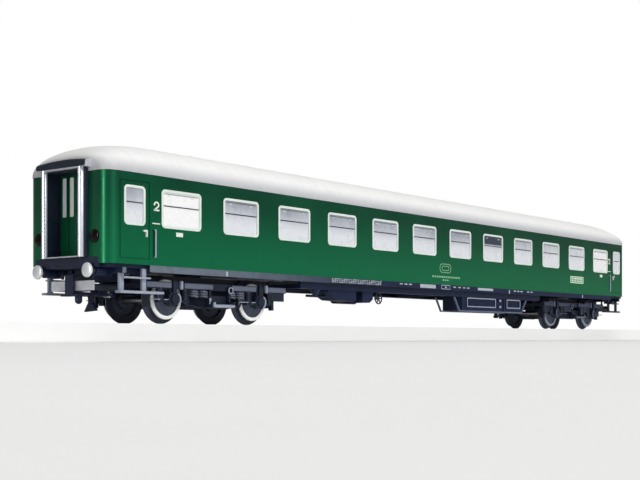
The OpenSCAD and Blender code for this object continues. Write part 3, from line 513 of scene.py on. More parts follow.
def new_object(name, draw, material=None, turned=False):
    """Runs draw(bm) in millimetres and links the result, in metres, as a new object."""
    bm = bmesh.new()
    draw(bm)
    if turned:
        bmesh.ops.transform(bm, matrix=HALF_TURN, verts=bm.verts)
    bmesh.ops.recalc_face_normals(bm, faces=bm.faces)
    bmesh.ops.scale(bm, vec=(MM, MM, MM), verts=bm.verts)
    mesh = bpy.data.meshes.new(name)
    bm.to_mesh(mesh)
    bm.free()
    mesh.materials.append(material)
    obj = bpy.data.objects.new(name, mesh)
    scene.collection.objects.link(obj)
    return obj


def smooth(mesh, crease=32):
    """Smooth shading, with edges sharper than the crease angle kept sharp."""
    mesh.shade_smooth()
    mesh.set_sharp_from_angle(angle=math.radians(crease))


def keep_result(obj):
    """Turns what an object's modifiers make into its own plain mesh."""
    mesh = bpy.data.meshes.new_from_object(obj.evaluated_get(bpy.context.evaluated_depsgraph_get()))
    obj.modifiers.clear()
    obj.data = mesh


def make_piece(name, draw, material, body, replaces=(), turned=False):
    """Runs draw(bm) and turns the result into a finished piece."""
    obj = new_object(name, draw, material, turned)
    smooth(obj.data)
    return place_piece(obj, body, replaces)


# ------------------------------------------------------------------ repeated pieces, by Geometry Nodes

def grow_tree(name, sizes, build):
    """A tree that runs build(tree, inputs) on its input geometry and gives the result its finish."""
    tree = bpy.data.node_groups.new(name, "GeometryNodeTree")
    tree.interface.new_socket("Geometry", in_out="INPUT", socket_type="NodeSocketGeometry")
    for label, value in sizes.items():
        kind = "NodeSocketVector" if isinstance(value, tuple) else "NodeSocketFloat"
        tree.interface.new_socket(label, in_out="INPUT", socket_type=kind).default_value = value
    tree.interface.new_socket("Finish", in_out="INPUT", socket_type="NodeSocketMaterial")
    tree.interface.new_socket("Geometry", in_out="OUTPUT", socket_type="NodeSocketGeometry")
    inputs = add(tree, "NodeGroupInput").outputs
    real = add(tree, "GeometryNodeRealizeInstances", {0: build(tree, inputs)})
    finished = add(tree, "GeometryNodeSetMaterial",
                   {"Geometry": real.outputs[0], "Material": inputs["Finish"]})
    add(tree, "NodeGroupOutput", {0: finished.outputs[0]})
    return tree


def on_points(build):
    """Puts what build(tree, inputs) makes on every point of the input geometry."""
    def spread(tree, inputs):
        values = {"Points": inputs["Geometry"], "Instance": build(tree, inputs)}
        return add(tree, "GeometryNodeInstanceOnPoints", values).outputs[0]
    return spread


def build_rivet(tree, inputs):
    """A low dome: a squashed sphere whose inner half is sunk in the surface."""
    ball = add(tree, "GeometryNodeMeshUVSphere", {"Segments": 10, "Rings": 5, "Radius": inputs["Radius"]})
    squash = add(tree, "GeometryNodeTransform", {"Geometry": ball.outputs[0], "Scale": inputs["Squash"]})
    return squash.outputs[0]


def build_coil(tree, inputs):
    """A round wire wound into a compression spring."""
    helix = add(tree, "GeometryNodeCurveSpiral",
                {"Resolution": 12, "Rotations": inputs["Turns"], "Height": inputs["Height"],
                 "Start Radius": inputs["Radius"], "End Radius": inputs["Radius"]})
    wire = add(tree, "GeometryNodeCurvePrimitiveCircle", {"Resolution": 7, "Radius": inputs["Wire radius"]},
               mode="RADIUS")
    return add(tree, "GeometryNodeCurveToMesh", {"Curve": helix.outputs[0], "Profile Curve": wire.outputs[0],
                                                 "Fill Caps": True}).outputs[0]


def build_slat(tree, inputs):
    """A straight slat."""
    return add(tree, "GeometryNodeMeshCube", {"Size": inputs["Size"]}).outputs[0]


def build_seam(tree, inputs):
    """A weld bead that follows the edges it is given."""
    bead = add(tree, "GeometryNodeCurvePrimitiveCircle", {"Resolution": 8, "Radius": inputs["Bead radius"]},
               mode="RADIUS")
    path = add(tree, "GeometryNodeMeshToCurve", {0: inputs["Geometry"]})
    return add(tree, "GeometryNodeCurveToMesh", {"Curve": path.outputs[0], "Profile Curve": bead.outputs[0],
                                                 "Fill Caps": True}).outputs[0]


RIVETS = grow_tree("rivets", {"Radius": 0.25 * MM, "Squash": (1.0, 0.6, 1.0)}, on_points(build_rivet))
COILS = grow_tree("coil_springs", {"Radius": 1.1 * MM, "Wire radius": 0.2 * MM, "Height": 3 * MM,
                                   "Turns": 4.0}, on_points(build_coil))
SLATS = grow_tree("slats", {"Size": (0.01, 0.001, 0.001)}, on_points(build_slat))
SEAMS = grow_tree("weld_seams", {"Bead radius": 0.1 * MM}, build_seam)


def repeat_piece(name, tree, points, values, material, body, turned=False, edges=()):
    """Grows a tree on points given in millimetres and keeps the plain mesh it makes."""
    if turned:
        points = [HALF_TURN @ Vector(p) for p in points]
    seed = bpy.data.meshes.new(name)
    seed.from_pydata([Vector(p) * MM for p in points], list(edges), [])
    obj = bpy.data.objects.new(name, seed)
    scene.collection.objects.link(obj)
    modifier = obj.modifiers.new("repeat", "NODES")
    modifier.node_group = tree
    for item in tree.interface.items_tree:
        if item.in_out == "INPUT" and item.name in values:
            modifier[item.identifier] = values[item.name]
        elif item.in_out == "INPUT" and item.name == "Finish":
            modifier[item.identifier] = material
    keep_result(obj)
    smooth(obj.data, 40)
    return place_piece(obj, body)


# ------------------------------------------------------------------ roof

ROOF_POWER = 2.2
ROOF_SKIRT = 0.4
ROOF_END_L = 24.0
ROOF_END_SHARE = 0.36
ROOF_WALL = 1.2
ROOF_CORNER_R = 3.65
PORTAL_HALF_W = 7.75
PORTAL_TOP = 39.4


def roof_ring(x, inset, drop, steps):
    """The roof's cross-section at a distance x from the middle: a squarish arc over an upright skirt."""
    x_end = ROOF_HIGH.x - inset
    corner = ROOF_CORNER_R - inset
    past = max(0.0, abs(x) - x_end + corner)
    half = ROOF_HIGH.y - inset - corner + math.sqrt(max(0.0, corner * corner - past * past))
    into_end = max(0.0, abs(x) - x_end + ROOF_END_L) / ROOF_END_L
    dome = max(0.0, 1 - into_end ** ROOF_POWER) ** (1 / ROOF_POWER)
    share = ROOF_END_SHARE + (1 - ROOF_END_SHARE) * dome
    rise = (ROOF_HIGH.z - EAVE_Z - ROOF_SKIRT) * share - inset
    ring = [(x, half, EAVE_Z - drop)]
    for i in range(steps + 1):
        t = math.pi * i / steps
        across = math.copysign(abs(math.cos(t)) ** (2 / ROOF_POWER), math.cos(t))
        up = max(0.0, math.sin(t)) ** (2 / ROOF_POWER)
        ring.append((x, half * across, EAVE_Z + ROOF_SKIRT + rise * up))
    ring.append((x, -half, EAVE_Z - drop))
    return ring


def roof_stations(inset, end_steps):
    """Distances from the middle at which the roof's rings stand, closer together towards the ends."""
    x_end = ROOF_HIGH.x - inset
    half = [x_end - ROOF_END_L + ROOF_END_L * math.sin(math.pi / 2 * i / end_steps)
            for i in range(end_steps + 1)]
    straight = [half[0] * k / 6 for k in range(-5, 6)]
    return [-x for x in reversed(half)] + straight + half


def cut_away(obj, name, draw):
    """Cuts the closed shape that draw(bm) makes out of an object's mesh."""
    cutter = new_object(name, draw)
    modifier = obj.modifiers.new("cut", "BOOLEAN")
    modifier.operation = "DIFFERENCE"
    modifier.solver = "EXACT"
    modifier.object = cutter
    keep_result(obj)
    bpy.data.objects.remove(cutter)
    smooth(obj.data)


def draw_roof(bm):
    loft(bm, [roof_ring(x, 0.0, 0.0, 96) for x in roof_stations(0.0, 28)])


def draw_roof_hollow(bm):
    loft(bm, [roof_ring(x, ROOF_WALL, 1.0, 32) for x in roof_stations(ROOF_WALL, 8)])


def draw_portals(bm):
    for s in (-1, 1):
        ends = sorted((s * (BODY_HIGH.x + 1), s * (BODY_HIGH.x - ROOF_WALL - 1)))
        block(bm, (ends[0], -PORTAL_HALF_W, EAVE_Z - 2), (ends[1], PORTAL_HALF_W, PORTAL_TOP), 0.001)


roof = make_piece("roof_skin", draw_roof, ROOF, "coach", ["roof"])
cut_away(roof, "roof_hollow", draw_roof_hollow)
cut_away(roof, "roof_portals", draw_portals)

seam_points, seam_edges = [], []
for k in range(WINDOW_COUNT - 1):
    ring = roof_ring((k - (WINDOW_COUNT - 2) / 2) * WINDOW_PITCH, 0.03, -0.5, 48)[1:-1]
    first = len(seam_points)
    seam_points += ring
    seam_edges += [(first + i, first + i + 1) for i in range(len(ring) - 1)]
repeat_piece("roof_seams", SEAMS, seam_points, {"Bead radius": 0.09 * MM}, ROOF, "coach",
             edges=seam_edges)


def draw_gutter(bm):
    """Rain gutter: a thin bead along each eave."""
    x_end = ROOF_HIGH.x - ROOF_CORNER_R
    for s in (-1, 1):
        tube(bm, [(x, s * (ROOF_HIGH.y - 0.02), EAVE_Z + 0.14) for x in (-x_end, x_end)], 0.13, 8)


make_piece("roof_gutters", draw_gutter, ROOF, "coach")


# ------------------------------------------------------------------ window furniture

PANE_Y = HALF_W - 0.3
RAIL_Z = WINDOW_TOP - FRAME_W - 0.45
CLEAR_W = WINDOW_W - 2 * FRAME_W
DOOR_CLEAR_W = DOOR_WINDOW_W - 2 * FRAME_W
DOOR_XS = (-DOOR_X, DOOR_X)
GRIP_XS = [x + d for x in WINDOW_XS for d in (-4.2, 4.2)]
# Name, places along the side, distance out of the pane, height, size and finish of each kind of slat
WINDOW_SLATS = (("window_sash_bars_", WINDOW_XS, 0.06, SASH_Z, (CLEAR_W + 0.1, 0.2, 0.24), BOGIE_DARK),
                ("door_sash_bars_", DOOR_XS, 0.06, SASH_Z, (DOOR_CLEAR_W + 0.1, 0.2, 0.24), BOGIE_DARK),
                ("window_top_rails_", WINDOW_XS, 0.05, RAIL_Z, (CLEAR_W - 0.8, 0.16, 0.14), BOGIE_GREY),
                ("window_grips_", GRIP_XS, 0.06, RAIL_Z - 0.45, (0.9, 0.24, 0.22), TRIM))
for side, s in SIDES:
    for name, xs, out, z, size, finish in WINDOW_SLATS:
        repeat_piece(name + side, SLATS, [(x, s * (PANE_Y + out), z) for x in xs],
                     {"Size": tuple(v * MM for v in size)}, finish, "coach")


# ------------------------------------------------------------------ transfer printing on the sides

PRINT_IN = HALF_W - 0.02
PRINT_OUT = HALF_W + 0.03
SILL_IN = HALF_W - 0.07
SILL_OUT = HALF_W - 0.02


# Places of the printing on a green side, as distance from the middle and height
NUMERAL = (133.4, 30.6)
LEDGE_MARK = (133.5, 26.05)
SEAT_MARK = (125.35, 23.7)
DATA_PANEL = (102.3, 21.0)
EMBLEM = (1.6, 21.0)
MARK_PITCH = 1.38


def draw_numeral_two(bm, x, z, w, h, stroke):
    """The class numeral 2: a hook, a slanted neck and a flat foot."""
    r = w / 2 - stroke / 2
    top = z + h / 2 - stroke / 2
    arc = [(x - r * math.cos(math.radians(a)), top - r + r * math.sin(math.radians(a)))
           for a in range(-10, 215, 15)]
    foot = z - h / 2 + stroke / 2
    ribbon(bm, arc + [(x - r, foot)], stroke, -PRINT_IN, -PRINT_OUT)
    ribbon(bm, [(x - r - stroke / 2, foot), (x + r + stroke / 2, foot)], stroke, -PRINT_IN, -PRINT_OUT)


def dash(bm, x0, x1, z, thick, y_in=PRINT_IN, y_out=PRINT_OUT):
    """A short straight printed line."""
    ribbon(bm, [(x0, z), (x1, z)], thick, -y_in, -y_out)


def draw_body_print(bm):
    """Printing on one green side, drawn for the -Y side: class numerals, door marks and a data panel."""
    for s in (-1, 1):
        draw_numeral_two(bm, s * NUMERAL[0], NUMERAL[1], 1.9, 2.5, 0.42)
        for (x, z), half, thick in ((LEDGE_MARK, 1.3, 0.28), (SEAT_MARK, 1.2, 1.1)):
            dash(bm, s * x - half, s * x + half, z, thick)
    side_frame(bm, *DATA_PANEL, 12.0, 2.9, 0.3, 0.3, -PRINT_IN, -PRINT_OUT)
    for k in range(4):
        dash(bm, 97.6 + 2.5 * k, 99.4 + 2.5 * k, 21.5, 0.45)
        dash(bm, 97.6 + 2.5 * k, 99.0 + 2.5 * k, 20.5, 0.35)


def draw_emblem(bm):
    """A plain emblem of two thin rounded frames on the middle of a side, with two rows of small marks
    below, and the pale ground of the data panel."""
    side_frame(bm, *EMBLEM, 7.2, 3.3, 1.5, 0.28, -PRINT_IN, -PRINT_OUT)
    side_frame(bm, *EMBLEM, 4.6, 1.7, 0.8, 0.24, -PRINT_IN, -PRINT_OUT)
    for count, start, z, thick in ((13, -6.6, 17.9, 0.62), (3, -0.2, 16.8, 0.5)):
        for k in range(count):
            dash(bm, start + MARK_PITCH * k, start + MARK_PITCH * k + 1.0, z, thick)
    dash(bm, DATA_PANEL[0] - 5.8, DATA_PANEL[0] + 5.8, DATA_PANEL[1], 2.5, y_out=PRINT_OUT - 0.02)


def draw_sill_print(bm):
    """Small service marks on the sill: a close grid, framed panels and plain bars at the lifting points."""
    for k in range(22):
        x = -61.6 + 1.17 * k
        for row, z in enumerate((14.78, 14.28, 13.78)):
            dash(bm, x, x + 0.45 + 0.16 * ((k * 7 + row * 3) % 4), z, 0.3, SILL_IN, SILL_OUT)
    dash(bm, -13.9, -4.5, 14.25, 1.25, SILL_IN, SILL_OUT)
    side_frame(bm, 1.9, 14.3, 5.6, 1.5, 0.2, 0.2, -SILL_IN, -SILL_OUT)
    dash(bm, 1.4, 2.4, 14.3, 0.5, SILL_IN, SILL_OUT)
    dash(bm, 23.2, 34.1, 14.4, 0.9, SILL_IN, SILL_OUT)
    for x in (-25.9, -23.2, -20.6, 6.7, 9.9, 13.1, 15.8, 49.4, 52.0, 54.6, 59.8, 62.6):
        dash(bm, x, x + 1.7, 14.5, 0.4, SILL_IN, SILL_OUT)
    for x in (-BOGIE_X, 46.1, BOGIE_X):
        ribbon(bm, [(x, 14.75), (x, 13.45)], 0.75, -SILL_IN, -SILL_OUT)


for side, turned in (("right", False), ("left", True)):
    make_piece("body_printing_" + side, draw_body_print, PRINT, "coach", turned=turned)
    make_piece("body_emblem_" + side, draw_emblem, MUTED_PRINT, "coach", turned=turned)
    make_piece("sill_printing_" + side, draw_sill_print, SILL_PRINT, "coach", turned=turned)


# ------------------------------------------------------------------ gangway hoods and tail lamps

HOOD_TIP = 0.35
LINING_HALF_W = 9.6
LINING_OUTER = 10.1
LINING_T = 0.25


def hood_ring(y, scale):
    """Section of the hood across the coach: upright front, rounded brow, back against the roof."""
    arch = (HOOD_HIGH.y ** 2 - y * y) / HOOD_HIGH.y ** 2
    height = (HOOD_HIGH.z - HOOD_LOW.z) * (0.74 + 0.26 * arch) * scale
    brow = min(1.1, height * 0.6)
    ring = [(HOOD_HIGH.x, HOOD_LOW.z), (HOOD_LOW.x + 0.25, HOOD_LOW.z), (HOOD_LOW.x, HOOD_LOW.z + 0.3)]
    for i in range(9):
        a = math.radians(180 - 90 * i / 8)
        ring.append((HOOD_LOW.x + brow + brow * math.cos(a), HOOD_LOW.z + height - brow + brow * math.sin(a)))
    ring.append((HOOD_HIGH.x, HOOD_LOW.z + height))
    return [(x, y, z) for x, z in ring]


def draw_hood(bm):
    """Rubber roll over the gangway, arched along its top and rounded off at both ends."""
    half = HOOD_HIGH.y - HOOD_TIP
    stations = [half * k / 10 for k in range(-10, 11)]
    tips = [(half + HOOD_TIP * math.sin(a), math.cos(a) * 0.45 + 0.55)
            for a in (math.radians(d) for d in (30, 60, 90))]
    rings = [hood_ring(-y, scale) for y, scale in reversed(tips)]
    rings += [hood_ring(y, 1.0) for y in stations]
    rings += [hood_ring(y, scale) for y, scale in tips]
    loft(bm, rings)


def draw_hood_lining(bm):
    """Pale channel under the hood and the two cheeks that close its ends."""
    low, high = HOOD_LOW, HOOD_HIGH
    block(bm, (low.x + 0.1, -LINING_HALF_W, low.z - LINING_T),
          (high.x + 0.1, LINING_HALF_W, low.z - 0.02), 0.08)
    outline = [(low.x + 0.05, -LINING_T), (high.x + 0.05, -LINING_T), (high.x + 0.05, 1.75),
               (low.x + 0.9, 1.75), (low.x + 0.3, 1.4), (low.x + 0.05, 0.8)]
    for s in (-1, 1):
        loft(bm, [[(x, y, low.z + z) for x, z in outline]
                  for y in sorted((s * LINING_HALF_W, s * LINING_OUTER))])


POST_W = 1.75
POST_DEPTH = POST_HIGH.x - POST_LOW.x


def draw_gangway_posts(bm):
    """Rounded metal posts beside the opening, with a thin threshold and lintel between them."""
    middle = POST_HIGH.y - POST_W / 2
    for s in (-1, 1):
        outline = [(POST_HIGH.x, POST_W / 2), (POST_HIGH.x, -POST_W / 2)]
        outline += [(POST_HIGH.x - POST_DEPTH * math.sin(a), -POST_W / 2 * math.cos(a))
                    for a in (math.radians(d) for d in range(10, 180, 10))]
        loft(bm, [[(POST_HIGH.x + (x - POST_HIGH.x) * k, s * middle + y * k, z) for x, y in outline]
                  for z, k in ((POST_LOW.z, 0.9), (POST_LOW.z + 0.15, 1.0), (POST_HIGH.z - 0.15, 1.0),
                               (POST_HIGH.z, 0.9))])
    inner = POST_HIGH.y - POST_W + 0.2
    block(bm, (POST_LOW.x + 0.15, -inner, POST_LOW.z), (POST_HIGH.x, inner, POST_LOW.z + 0.3), 0.08)
    block(bm, (POST_LOW.x + 0.15, -inner, POST_HIGH.z - 0.45), (POST_HIGH.x, inner, POST_HIGH.z), 0.1)


def gangway_rivets():
    """Rivet places down the inner edges of both posts."""
    count = 22
    zs = [POST_LOW.z + 0.8 + (POST_HIGH.z - POST_LOW.z - 1.6) * k / (count - 1) for k in range(count)]
    return [(POST_LOW.x + 0.3, s * (POST_HIGH.y - POST_W + 0.25), z) for s in (-1, 1) for z in zs]


def draw_tail_lamps(bm):
    """Two domed lenses in the end wall."""
    r = (LAMP_HIGH.z - LAMP_LOW.z) / 2
    z = LAMP_LOW.z + r
    dome = [(r * math.sin(a), -0.2 - 0.35 * math.cos(a)) for a in (math.radians(d) for d in range(0, 91, 15))]
    for s in (-1, 1):
        lathe(bm, dome + [(r, 0.8), (0.0, 0.8)], (-BODY_HIGH.x, s * (LAMP_HIGH.y - r), z), 40, along_x=True)


HEAD_R = (HEADS_HIGH.z - HEADS_LOW.z) / 2
STEM_R = 0.95
DOME_R = 5.5


def turn_buffers(bm, profile):
    """Turns an outline of (radius, distance behind the head's face) at all four buffers."""
    for end in (-1, 1):
        for s in (-1, 1):
            centre = (end * HEADS_HIGH.x, s * (HEADS_HIGH.y - HEAD_R), (HEADS_HIGH.z + HEADS_LOW.z) / 2)
            lathe(bm, [(q, -end * d) for q, d in profile], centre, 40, along_x=True)


def draw_buffer_heads(bm):
    """Domed heads, at both ends of the coach."""
    r = HEAD_R
    dome = [(q, DOME_R - math.sqrt(DOME_R ** 2 - q * q)) for q in (r * k / 8 for k in range(8))]
    turn_buffers(bm, dome + [(r - 0.08, 0.33), (r, 0.45), (r, 0.85), (r - 0.2, 1.1), (STEM_R, 1.2), (0.0, 1.2)])


def draw_buffer_stems(bm):
    """Plain stems between the heads and the sleeves."""
    turn_buffers(bm, [(0.0, 1.15), (STEM_R, 1.15), (STEM_R, 4.4), (0.0, 4.4)])


make_piece("buffer_domes", draw_buffer_heads, NICKEL, "coach", ["buffer_heads"])
make_piece("buffer_stems", draw_buffer_stems, BLACKENED, "coach")

for end, turned in ENDS:
    make_piece("gangway_hood_" + end, draw_hood, RUBBER, "coach", ["gangway_roof_" + end],
               turned=turned)
    make_piece("gangway_hood_lining_" + end, draw_hood_lining, SILVER, "coach",
               turned=turned)
    make_piece("gangway_posts_" + end, draw_gangway_posts, SILVER, "coach",
               ["gangway_frame_" + end], turned=turned)
    make_piece("tail_lamp_lenses_" + end, draw_tail_lamps, LAMP, "coach", ["tail_lamps_" + end],
               turned=turned)
    repeat_piece("gangway_rivets_" + end, RIVETS, gangway_rivets(),
                 {"Radius": 0.16 * MM, "Squash": (0.6, 1.0, 1.0)}, BLACKENED, "coach",
                 turned=turned)


# ------------------------------------------------------------------ bogie fittings, drawn for the front bogie

BEAM_LOW = 9.45
BEAM_HIGH = 11.3
BEAM_FACE = 12.95
FRAME_FACE = 12.6
SPRING_Y = 12.15
AXLE_SPRING = 4.4
CRADLE_SPRINGS = (5.4, 9.0)
CRADLE_BAR_Y = 15.0
CRADLE_BAR_Z = 5.1
KEEPER_R = 1.75
PULL_ROD_Z = 6.5
DAMPER_X = 4.2
DAMPER_Z = 9.6
BRAKE_X = 10.3
BRAKE_Y = 10.8


def draw_bogie_plates(bm):
    """Raised faces of the side beams, lighter than the casting as painted light."""
    for s in (-1, 1):
        for x0, x1 in ((-26.3, -17.7), (-13.0, -2.3), (5.2, 15.1), (20.1, 27.8)):
            side_plate(bm, -BOGIE_X + (x0 + x1) / 2, (BEAM_LOW + BEAM_HIGH) / 2, x1 - x0, 1.45, 0.25,
                       s * (BEAM_FACE - 0.05), s * (BEAM_FACE + 0.1))


def draw_bogie_straps(bm):
    """Struts beside the axle boxes, keeper rings, cradle bars and damper eyes, pale as painted light."""
    for s in (-1, 1):
        for axle in (-AXLE_OFFSET, AXLE_OFFSET):
            inner, outer = sorted((s * (FRAME_FACE - 0.1), s * (BEAM_FACE + 0.35)))
            x = -BOGIE_X + axle + 2.65
            block(bm, (x - 0.42, inner, BEAM_LOW - 0.1), (x + 0.42, outer, BEAM_HIGH + 0.35), 0.15)
            ring = [(-BOGIE_X + axle + KEEPER_R * math.cos(a), s * 13.5, AXLE_Z + KEEPER_R * math.sin(a))
                    for a in (math.radians(d) for d in range(-60, 70, 10))]
            tube(bm, ring, 0.24, 8)
            tube(bm, [(-BOGIE_X + axle - d, s * BEAM_FACE, PULL_ROD_Z) for d in (8.6, 1.8)], 0.13, 8)
        bar_y = s * CRADLE_BAR_Y
        tube(bm, [(-BOGIE_X - 3.9, bar_y, CRADLE_BAR_Z), (-BOGIE_X + 3.9, bar_y, CRADLE_BAR_Z)], 0.46, 12)
        inner, outer = sorted((s * (CRADLE_BAR_Y - 0.2), s * (CRADLE_BAR_Y + 0.42)))
        block(bm, (-BOGIE_X - 4.25, inner, 4.65), (-BOGIE_X - 3.5, outer, 6.2), 0.12)
        tube(bm, [(-BOGIE_X - 4.0, s * 13.6, 5.6), (-BOGIE_X - 4.0, s * 13.6, 7.3)], 0.3, 8)
        eye = [(-BOGIE_X + DAMPER_X + 0.85 * math.cos(a), s * 13.45, DAMPER_Z + 0.85 * math.sin(a))
               for a in (math.radians(d) for d in range(0, 361, 20))]
        tube(bm, eye, 0.16, 8)


def draw_brake_rigging(bm):
    """Hangers and pull rods between the wheels, in line with the brake blocks."""
    hanger = ((1.0, BEAM_LOW + 0.2), (1.06, 6.2), (0.98, 4.9))
    rod = ((-10.2, 5.4), (-5.4, 4.7), (5.4, 4.7), (10.2, 5.4))
    for y in (-BRAKE_Y, BRAKE_Y):
        for x in (-BRAKE_X, BRAKE_X):
            tube(bm, [(-BOGIE_X + x * share, y, z) for share, z in hanger], 0.32, 8)
        tube(bm, [(-BOGIE_X + x, y, z) for x, z in rod], 0.25, 8)


def spring_points(offsets, z):
    return [(-BOGIE_X + x, s * SPRING_Y, z) for s in (-1, 1) for x in offsets]


def bogie_bolts():
    """Bolt heads in two rows along the beams."""
    return [(-BOGIE_X + x, s * (BEAM_FACE + 0.1), z) for s in (-1, 1)
            for x in (-25.4, -20.4, -12.2, -7.6, -3.1, 6.0, 10.1, 14.2, 21.0, 27.0)
            for z in (BEAM_LOW + 0.45, BEAM_HIGH - 0.45)]


# The front bogie's faces and fittings are painted lighter as painted light, the rear's darker as painted shade.
for end, turned, faces, fittings in (("front", False, BOGIE_GREY, PALE_GREY),
                                     ("rear", True, BOGIE_SHADE, BOGIE_GREY)):
    body = "bogie_" + end
    make_piece("bogie_beam_plates_" + end, draw_bogie_plates, faces, body, turned=turned)
    make_piece("bogie_straps_" + end, draw_bogie_straps, fittings, body, turned=turned)
    make_piece("bogie_brake_rigging_" + end, draw_brake_rigging, BOGIE_DARK, body, turned=turned)
    axle_springs = [a + d for a in (-AXLE_OFFSET, AXLE_OFFSET) for d in (-AXLE_SPRING, AXLE_SPRING)]
    repeat_piece("axle_box_springs_" + end, COILS, spring_points(axle_springs, AXLE_Z - 0.3),
                 {"Radius": 1.0 * MM, "Wire radius": 0.22 * MM, "Height": 2.9 * MM, "Turns": 4.0}, BOGIE_DARK,
                 body, turned=turned)
    cradle_springs = [s * x for s in (-1, 1) for x in CRADLE_SPRINGS]
    repeat_piece("cradle_springs_" + end, COILS, spring_points(cradle_springs, 7.5),
                 {"Radius": 1.2 * MM, "Wire radius": 0.24 * MM, "Height": 1.9 * MM, "Turns": 3.0}, faces,
                 body, turned=turned)
    repeat_piece("bogie_bolts_" + end, RIVETS, bogie_bolts(), {"Radius": 0.2 * MM, "Squash": (1.0, 0.6, 1.0)},
                 faces, body, turned=turned)


# ------------------------------------------------------------------ wheels

BACK = 7.15
TYRE_W = 2.8
FLANGE_R = WHEEL_TOP - AXLE_Z
TREAD_R = FLANGE_R - 1.2
FACE = BACK + TYRE_W

# Half sections of a wheel's three parts, as (radius, distance from the middle of the axle)
TYRE_SECTION = [(4.3, BACK), (FLANGE_R - 0.35, BACK), (FLANGE_R - 0.1, BACK + 0.06), (FLANGE_R, BACK + 0.25),
                (FLANGE_R - 0.1, BACK + 0.5), (TREAD_R + 0.35, BACK + 0.8), (TREAD_R + 0.08, BACK + 1.05),
                (TREAD_R, FACE - 0.7), (TREAD_R - 0.1, FACE - 0.3), (4.3, FACE - 0.3)]
RIM_SECTION = [(4.42, FACE - 0.5), (4.42, FACE - 0.1), (4.5, FACE), (TREAD_R - 0.2, FACE),
               (TREAD_R - 0.05, FACE - 0.15), (TREAD_R, FACE - 0.5)]
DISC_SECTION = [(0.9, BACK + 0.15), (2.0, BACK + 0.15), (2.3, BACK + 0.9), (4.1, BACK + 0.7),
                (4.44, BACK + 0.1), (4.44, FACE - 0.2), (4.2, FACE - 0.5), (2.4, FACE - 0.9),
                (2.1, FACE - 0.8), (1.8, FACE - 0.1), (1.7, FACE - 0.03), (0.9, FACE - 0.03)]


def wheel_pair(section, centre):
    """Draws one part of both wheels of an axle from its half section."""
    def draw(bm):
        for s in (-1, 1):
            lathe(bm, [(r, s * d) for r, d in section], centre, 72)
    return draw


for number in range(1, 5):
    low, high = node_box("wheelset_%d_axle" % number)
    centre = (low + high) / 2
    body = "wheelset_%d" % number
    # Front rims get the painted highlight, rear rims the painted shade.
    rim_finish = NICKEL_PAINTED_HIGHLIGHT if number < 3 else NICKEL_PAINTED_SHADE
    make_piece(body + "_tyres", wheel_pair(TYRE_SECTION, centre), BLACKENED, body,
               [body + "_wheels"])
    make_piece(body + "_rims", wheel_pair(RIM_SECTION, centre), rim_finish, body)
    make_piece(body + "_discs", wheel_pair(DISC_SECTION, centre), WORN_DISC, body)


# ------------------------------------------------------------------ gear under the floor and on the steps

def draw_battery_edging(bm):
    """Pressed frames round the two lids, and the latch squares between them, pale as a painted highlight."""
    face = BATTERY_LOW.y + 0.1
    for x0, x1 in ((19.4, 39.6), (47.8, 58.2)):
        side_frame(bm, (x0 + x1) / 2, 9.45, x1 - x0, 3.5, 0.35, 0.38, face + 0.05, face - 0.06)
    for z in (8.15, 10.55):
        side_plate(bm, 42.8, z, 1.5, 0.8, 0.15, face, BATTERY_LOW.y - 0.07)


# Painted highlight: the lid frames and latches are pale where their edges catch the light.
make_piece("battery_lid_edging", draw_battery_edging, PALE_GREY, "coach")
for label, x, length in (("wide", 29.5, 17.6), ("narrow", 53.0, 8.0)):
    louvres = [(x, BATTERY_LOW.y + 0.35, z) for z in (8.5, 9.1, 9.7, 10.3)]
    repeat_piece("battery_louvres_" + label, SLATS, louvres, {"Size": (length * MM, 0.25 * MM, 0.22 * MM)},
                 UNDERFRAME, "coach")

# The half turn of the rear end swaps its sides.
STEP_Y = 15.0
RIB_PITCH = 0.75
RIB_COUNT = 18
for end, turned in ENDS:
    for side, s in reversed(SIDES) if turned else SIDES:
        y = -s * STEP_Y if turned else s * STEP_Y
        ribs = [(STEP_LOW.x + 0.7 + RIB_PITCH * k, y, STEP_LOW.z + 0.62) for k in range(RIB_COUNT)]
        repeat_piece("step_treads_%s_%s" % (end, side), SLATS, ribs,
                     {"Size": (0.22 * MM, 1.7 * MM, 0.1 * MM)}, STEP_FINISH[end], "coach",
                     turned=turned)


# ------------------------------------------------------------------ stage, lights and camera

FLOOR_Z = -5.0
FLOOR_HALF = 6000.0
BACKGROUND = 1.0
AMBIENT = 0.22


def make_floor_finish():
    """Matt white seamless paper: chalky and very slightly mottled."""
    material, tree, shader, place = finish_of("seamless_paper", IOR=1.45)
    colour = blend_colours(tree, blotches(tree, place, 60.0), "#f2f2f1", "#f8f8f7")
    set_colour(tree, shader, colour)
    set_roughness(tree, shader, blotches(tree, place, 8.0), 0.75, 0.85)
    return material


PAPER = make_floor_finish()


def draw_floor(bm):
    """A large flat sheet of paper."""
    bmesh.ops.create_grid(bm, x_segments=1, y_segments=1, size=FLOOR_HALF,
                          matrix=Matrix.Translation((0, 0, FLOOR_Z)))


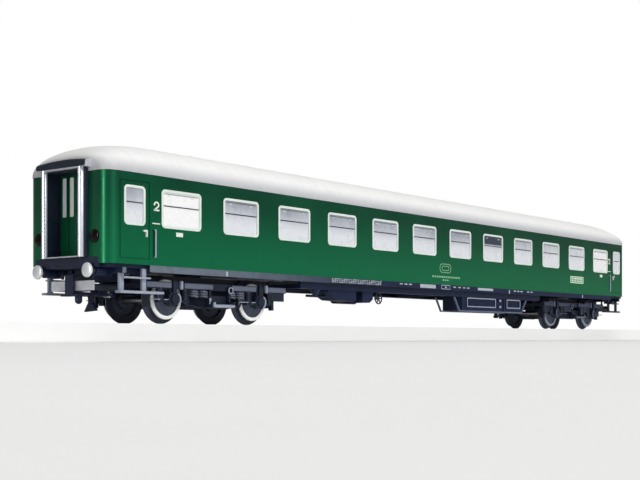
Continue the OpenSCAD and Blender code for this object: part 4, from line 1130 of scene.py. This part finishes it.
def draw_plinth(bm):
    """Narrow strip under the wheels that lifts the coach to the camera's height."""
    block(bm, (-500, -10.6, FLOOR_Z), (700, 10.6, 0), 0.3)


new_object("floor", draw_floor, PAPER)
new_object("plinth", draw_plinth, PAPER)


def area_light(name, place, target, size, power):
    """A soft rectangular lamp that points at a target; places and sizes are in metres."""
    light = bpy.data.lights.new(name, "AREA")
    light.shape = "RECTANGLE"
    light.size, light.size_y = size
    light.energy = power
    obj = bpy.data.objects.new(name, light)
    obj.location = place
    obj.rotation_euler = (Vector(target) - Vector(place)).to_track_quat("-Z", "Y").to_euler()
    scene.collection.objects.link(obj)
    return obj


area_light("key", (-0.25, -1.1, 0.7), (0.0, 0.0, 0.02), (0.7, 0.5), 8.5)
area_light("low_fill", (-0.2, -1.1, 0.15), (0.05, 0.0, 0.02), (0.8, 0.3), 1.8)
corner_strip = area_light("corner_strip", (-1.2, -0.06, 0.12), (-0.15, 0.0, 0.028), (0.12, 0.7), 14.0)
# The strip only makes the soft highlight down the rounded body corner.
corner_strip.visible_diffuse = False
area_light("top", (0.0, 0.1, 1.2), (0.0, 0.0, 0.04), (1.2, 0.8), 6.0)

world = bpy.data.worlds.new("studio")
world.use_nodes = True
world.node_tree.nodes.clear()
seen = add(world.node_tree, "ShaderNodeLightPath").outputs["Is Camera Ray"]
level = add(world.node_tree, "ShaderNodeMapRange", {"Value": seen, "To Min": AMBIENT, "To Max": BACKGROUND})
sky = add(world.node_tree, "ShaderNodeBackground", {"Color": (1, 1, 1, 1), "Strength": level.outputs[0]})
add(world.node_tree, "ShaderNodeOutputWorld", {"Surface": sky.outputs[0]})
scene.world = world
scene.view_settings.view_transform = "Standard"

camera_data = bpy.data.cameras.new("camera")
camera_data.sensor_width = 36.0
camera_data.lens = 64.16
camera_data.shift_x = -0.125
camera_data.shift_y = 0.1527
camera_data.clip_start = 0.002
camera_data.clip_end = 50.0
camera = bpy.data.objects.new("camera", camera_data)
camera.location = (-0.3361, -0.24346, -0.00372)
camera.rotation_euler = (math.radians(90), 0.0, math.radians(-53.78))
scene.collection.objects.link(camera)
scene.camera = camera
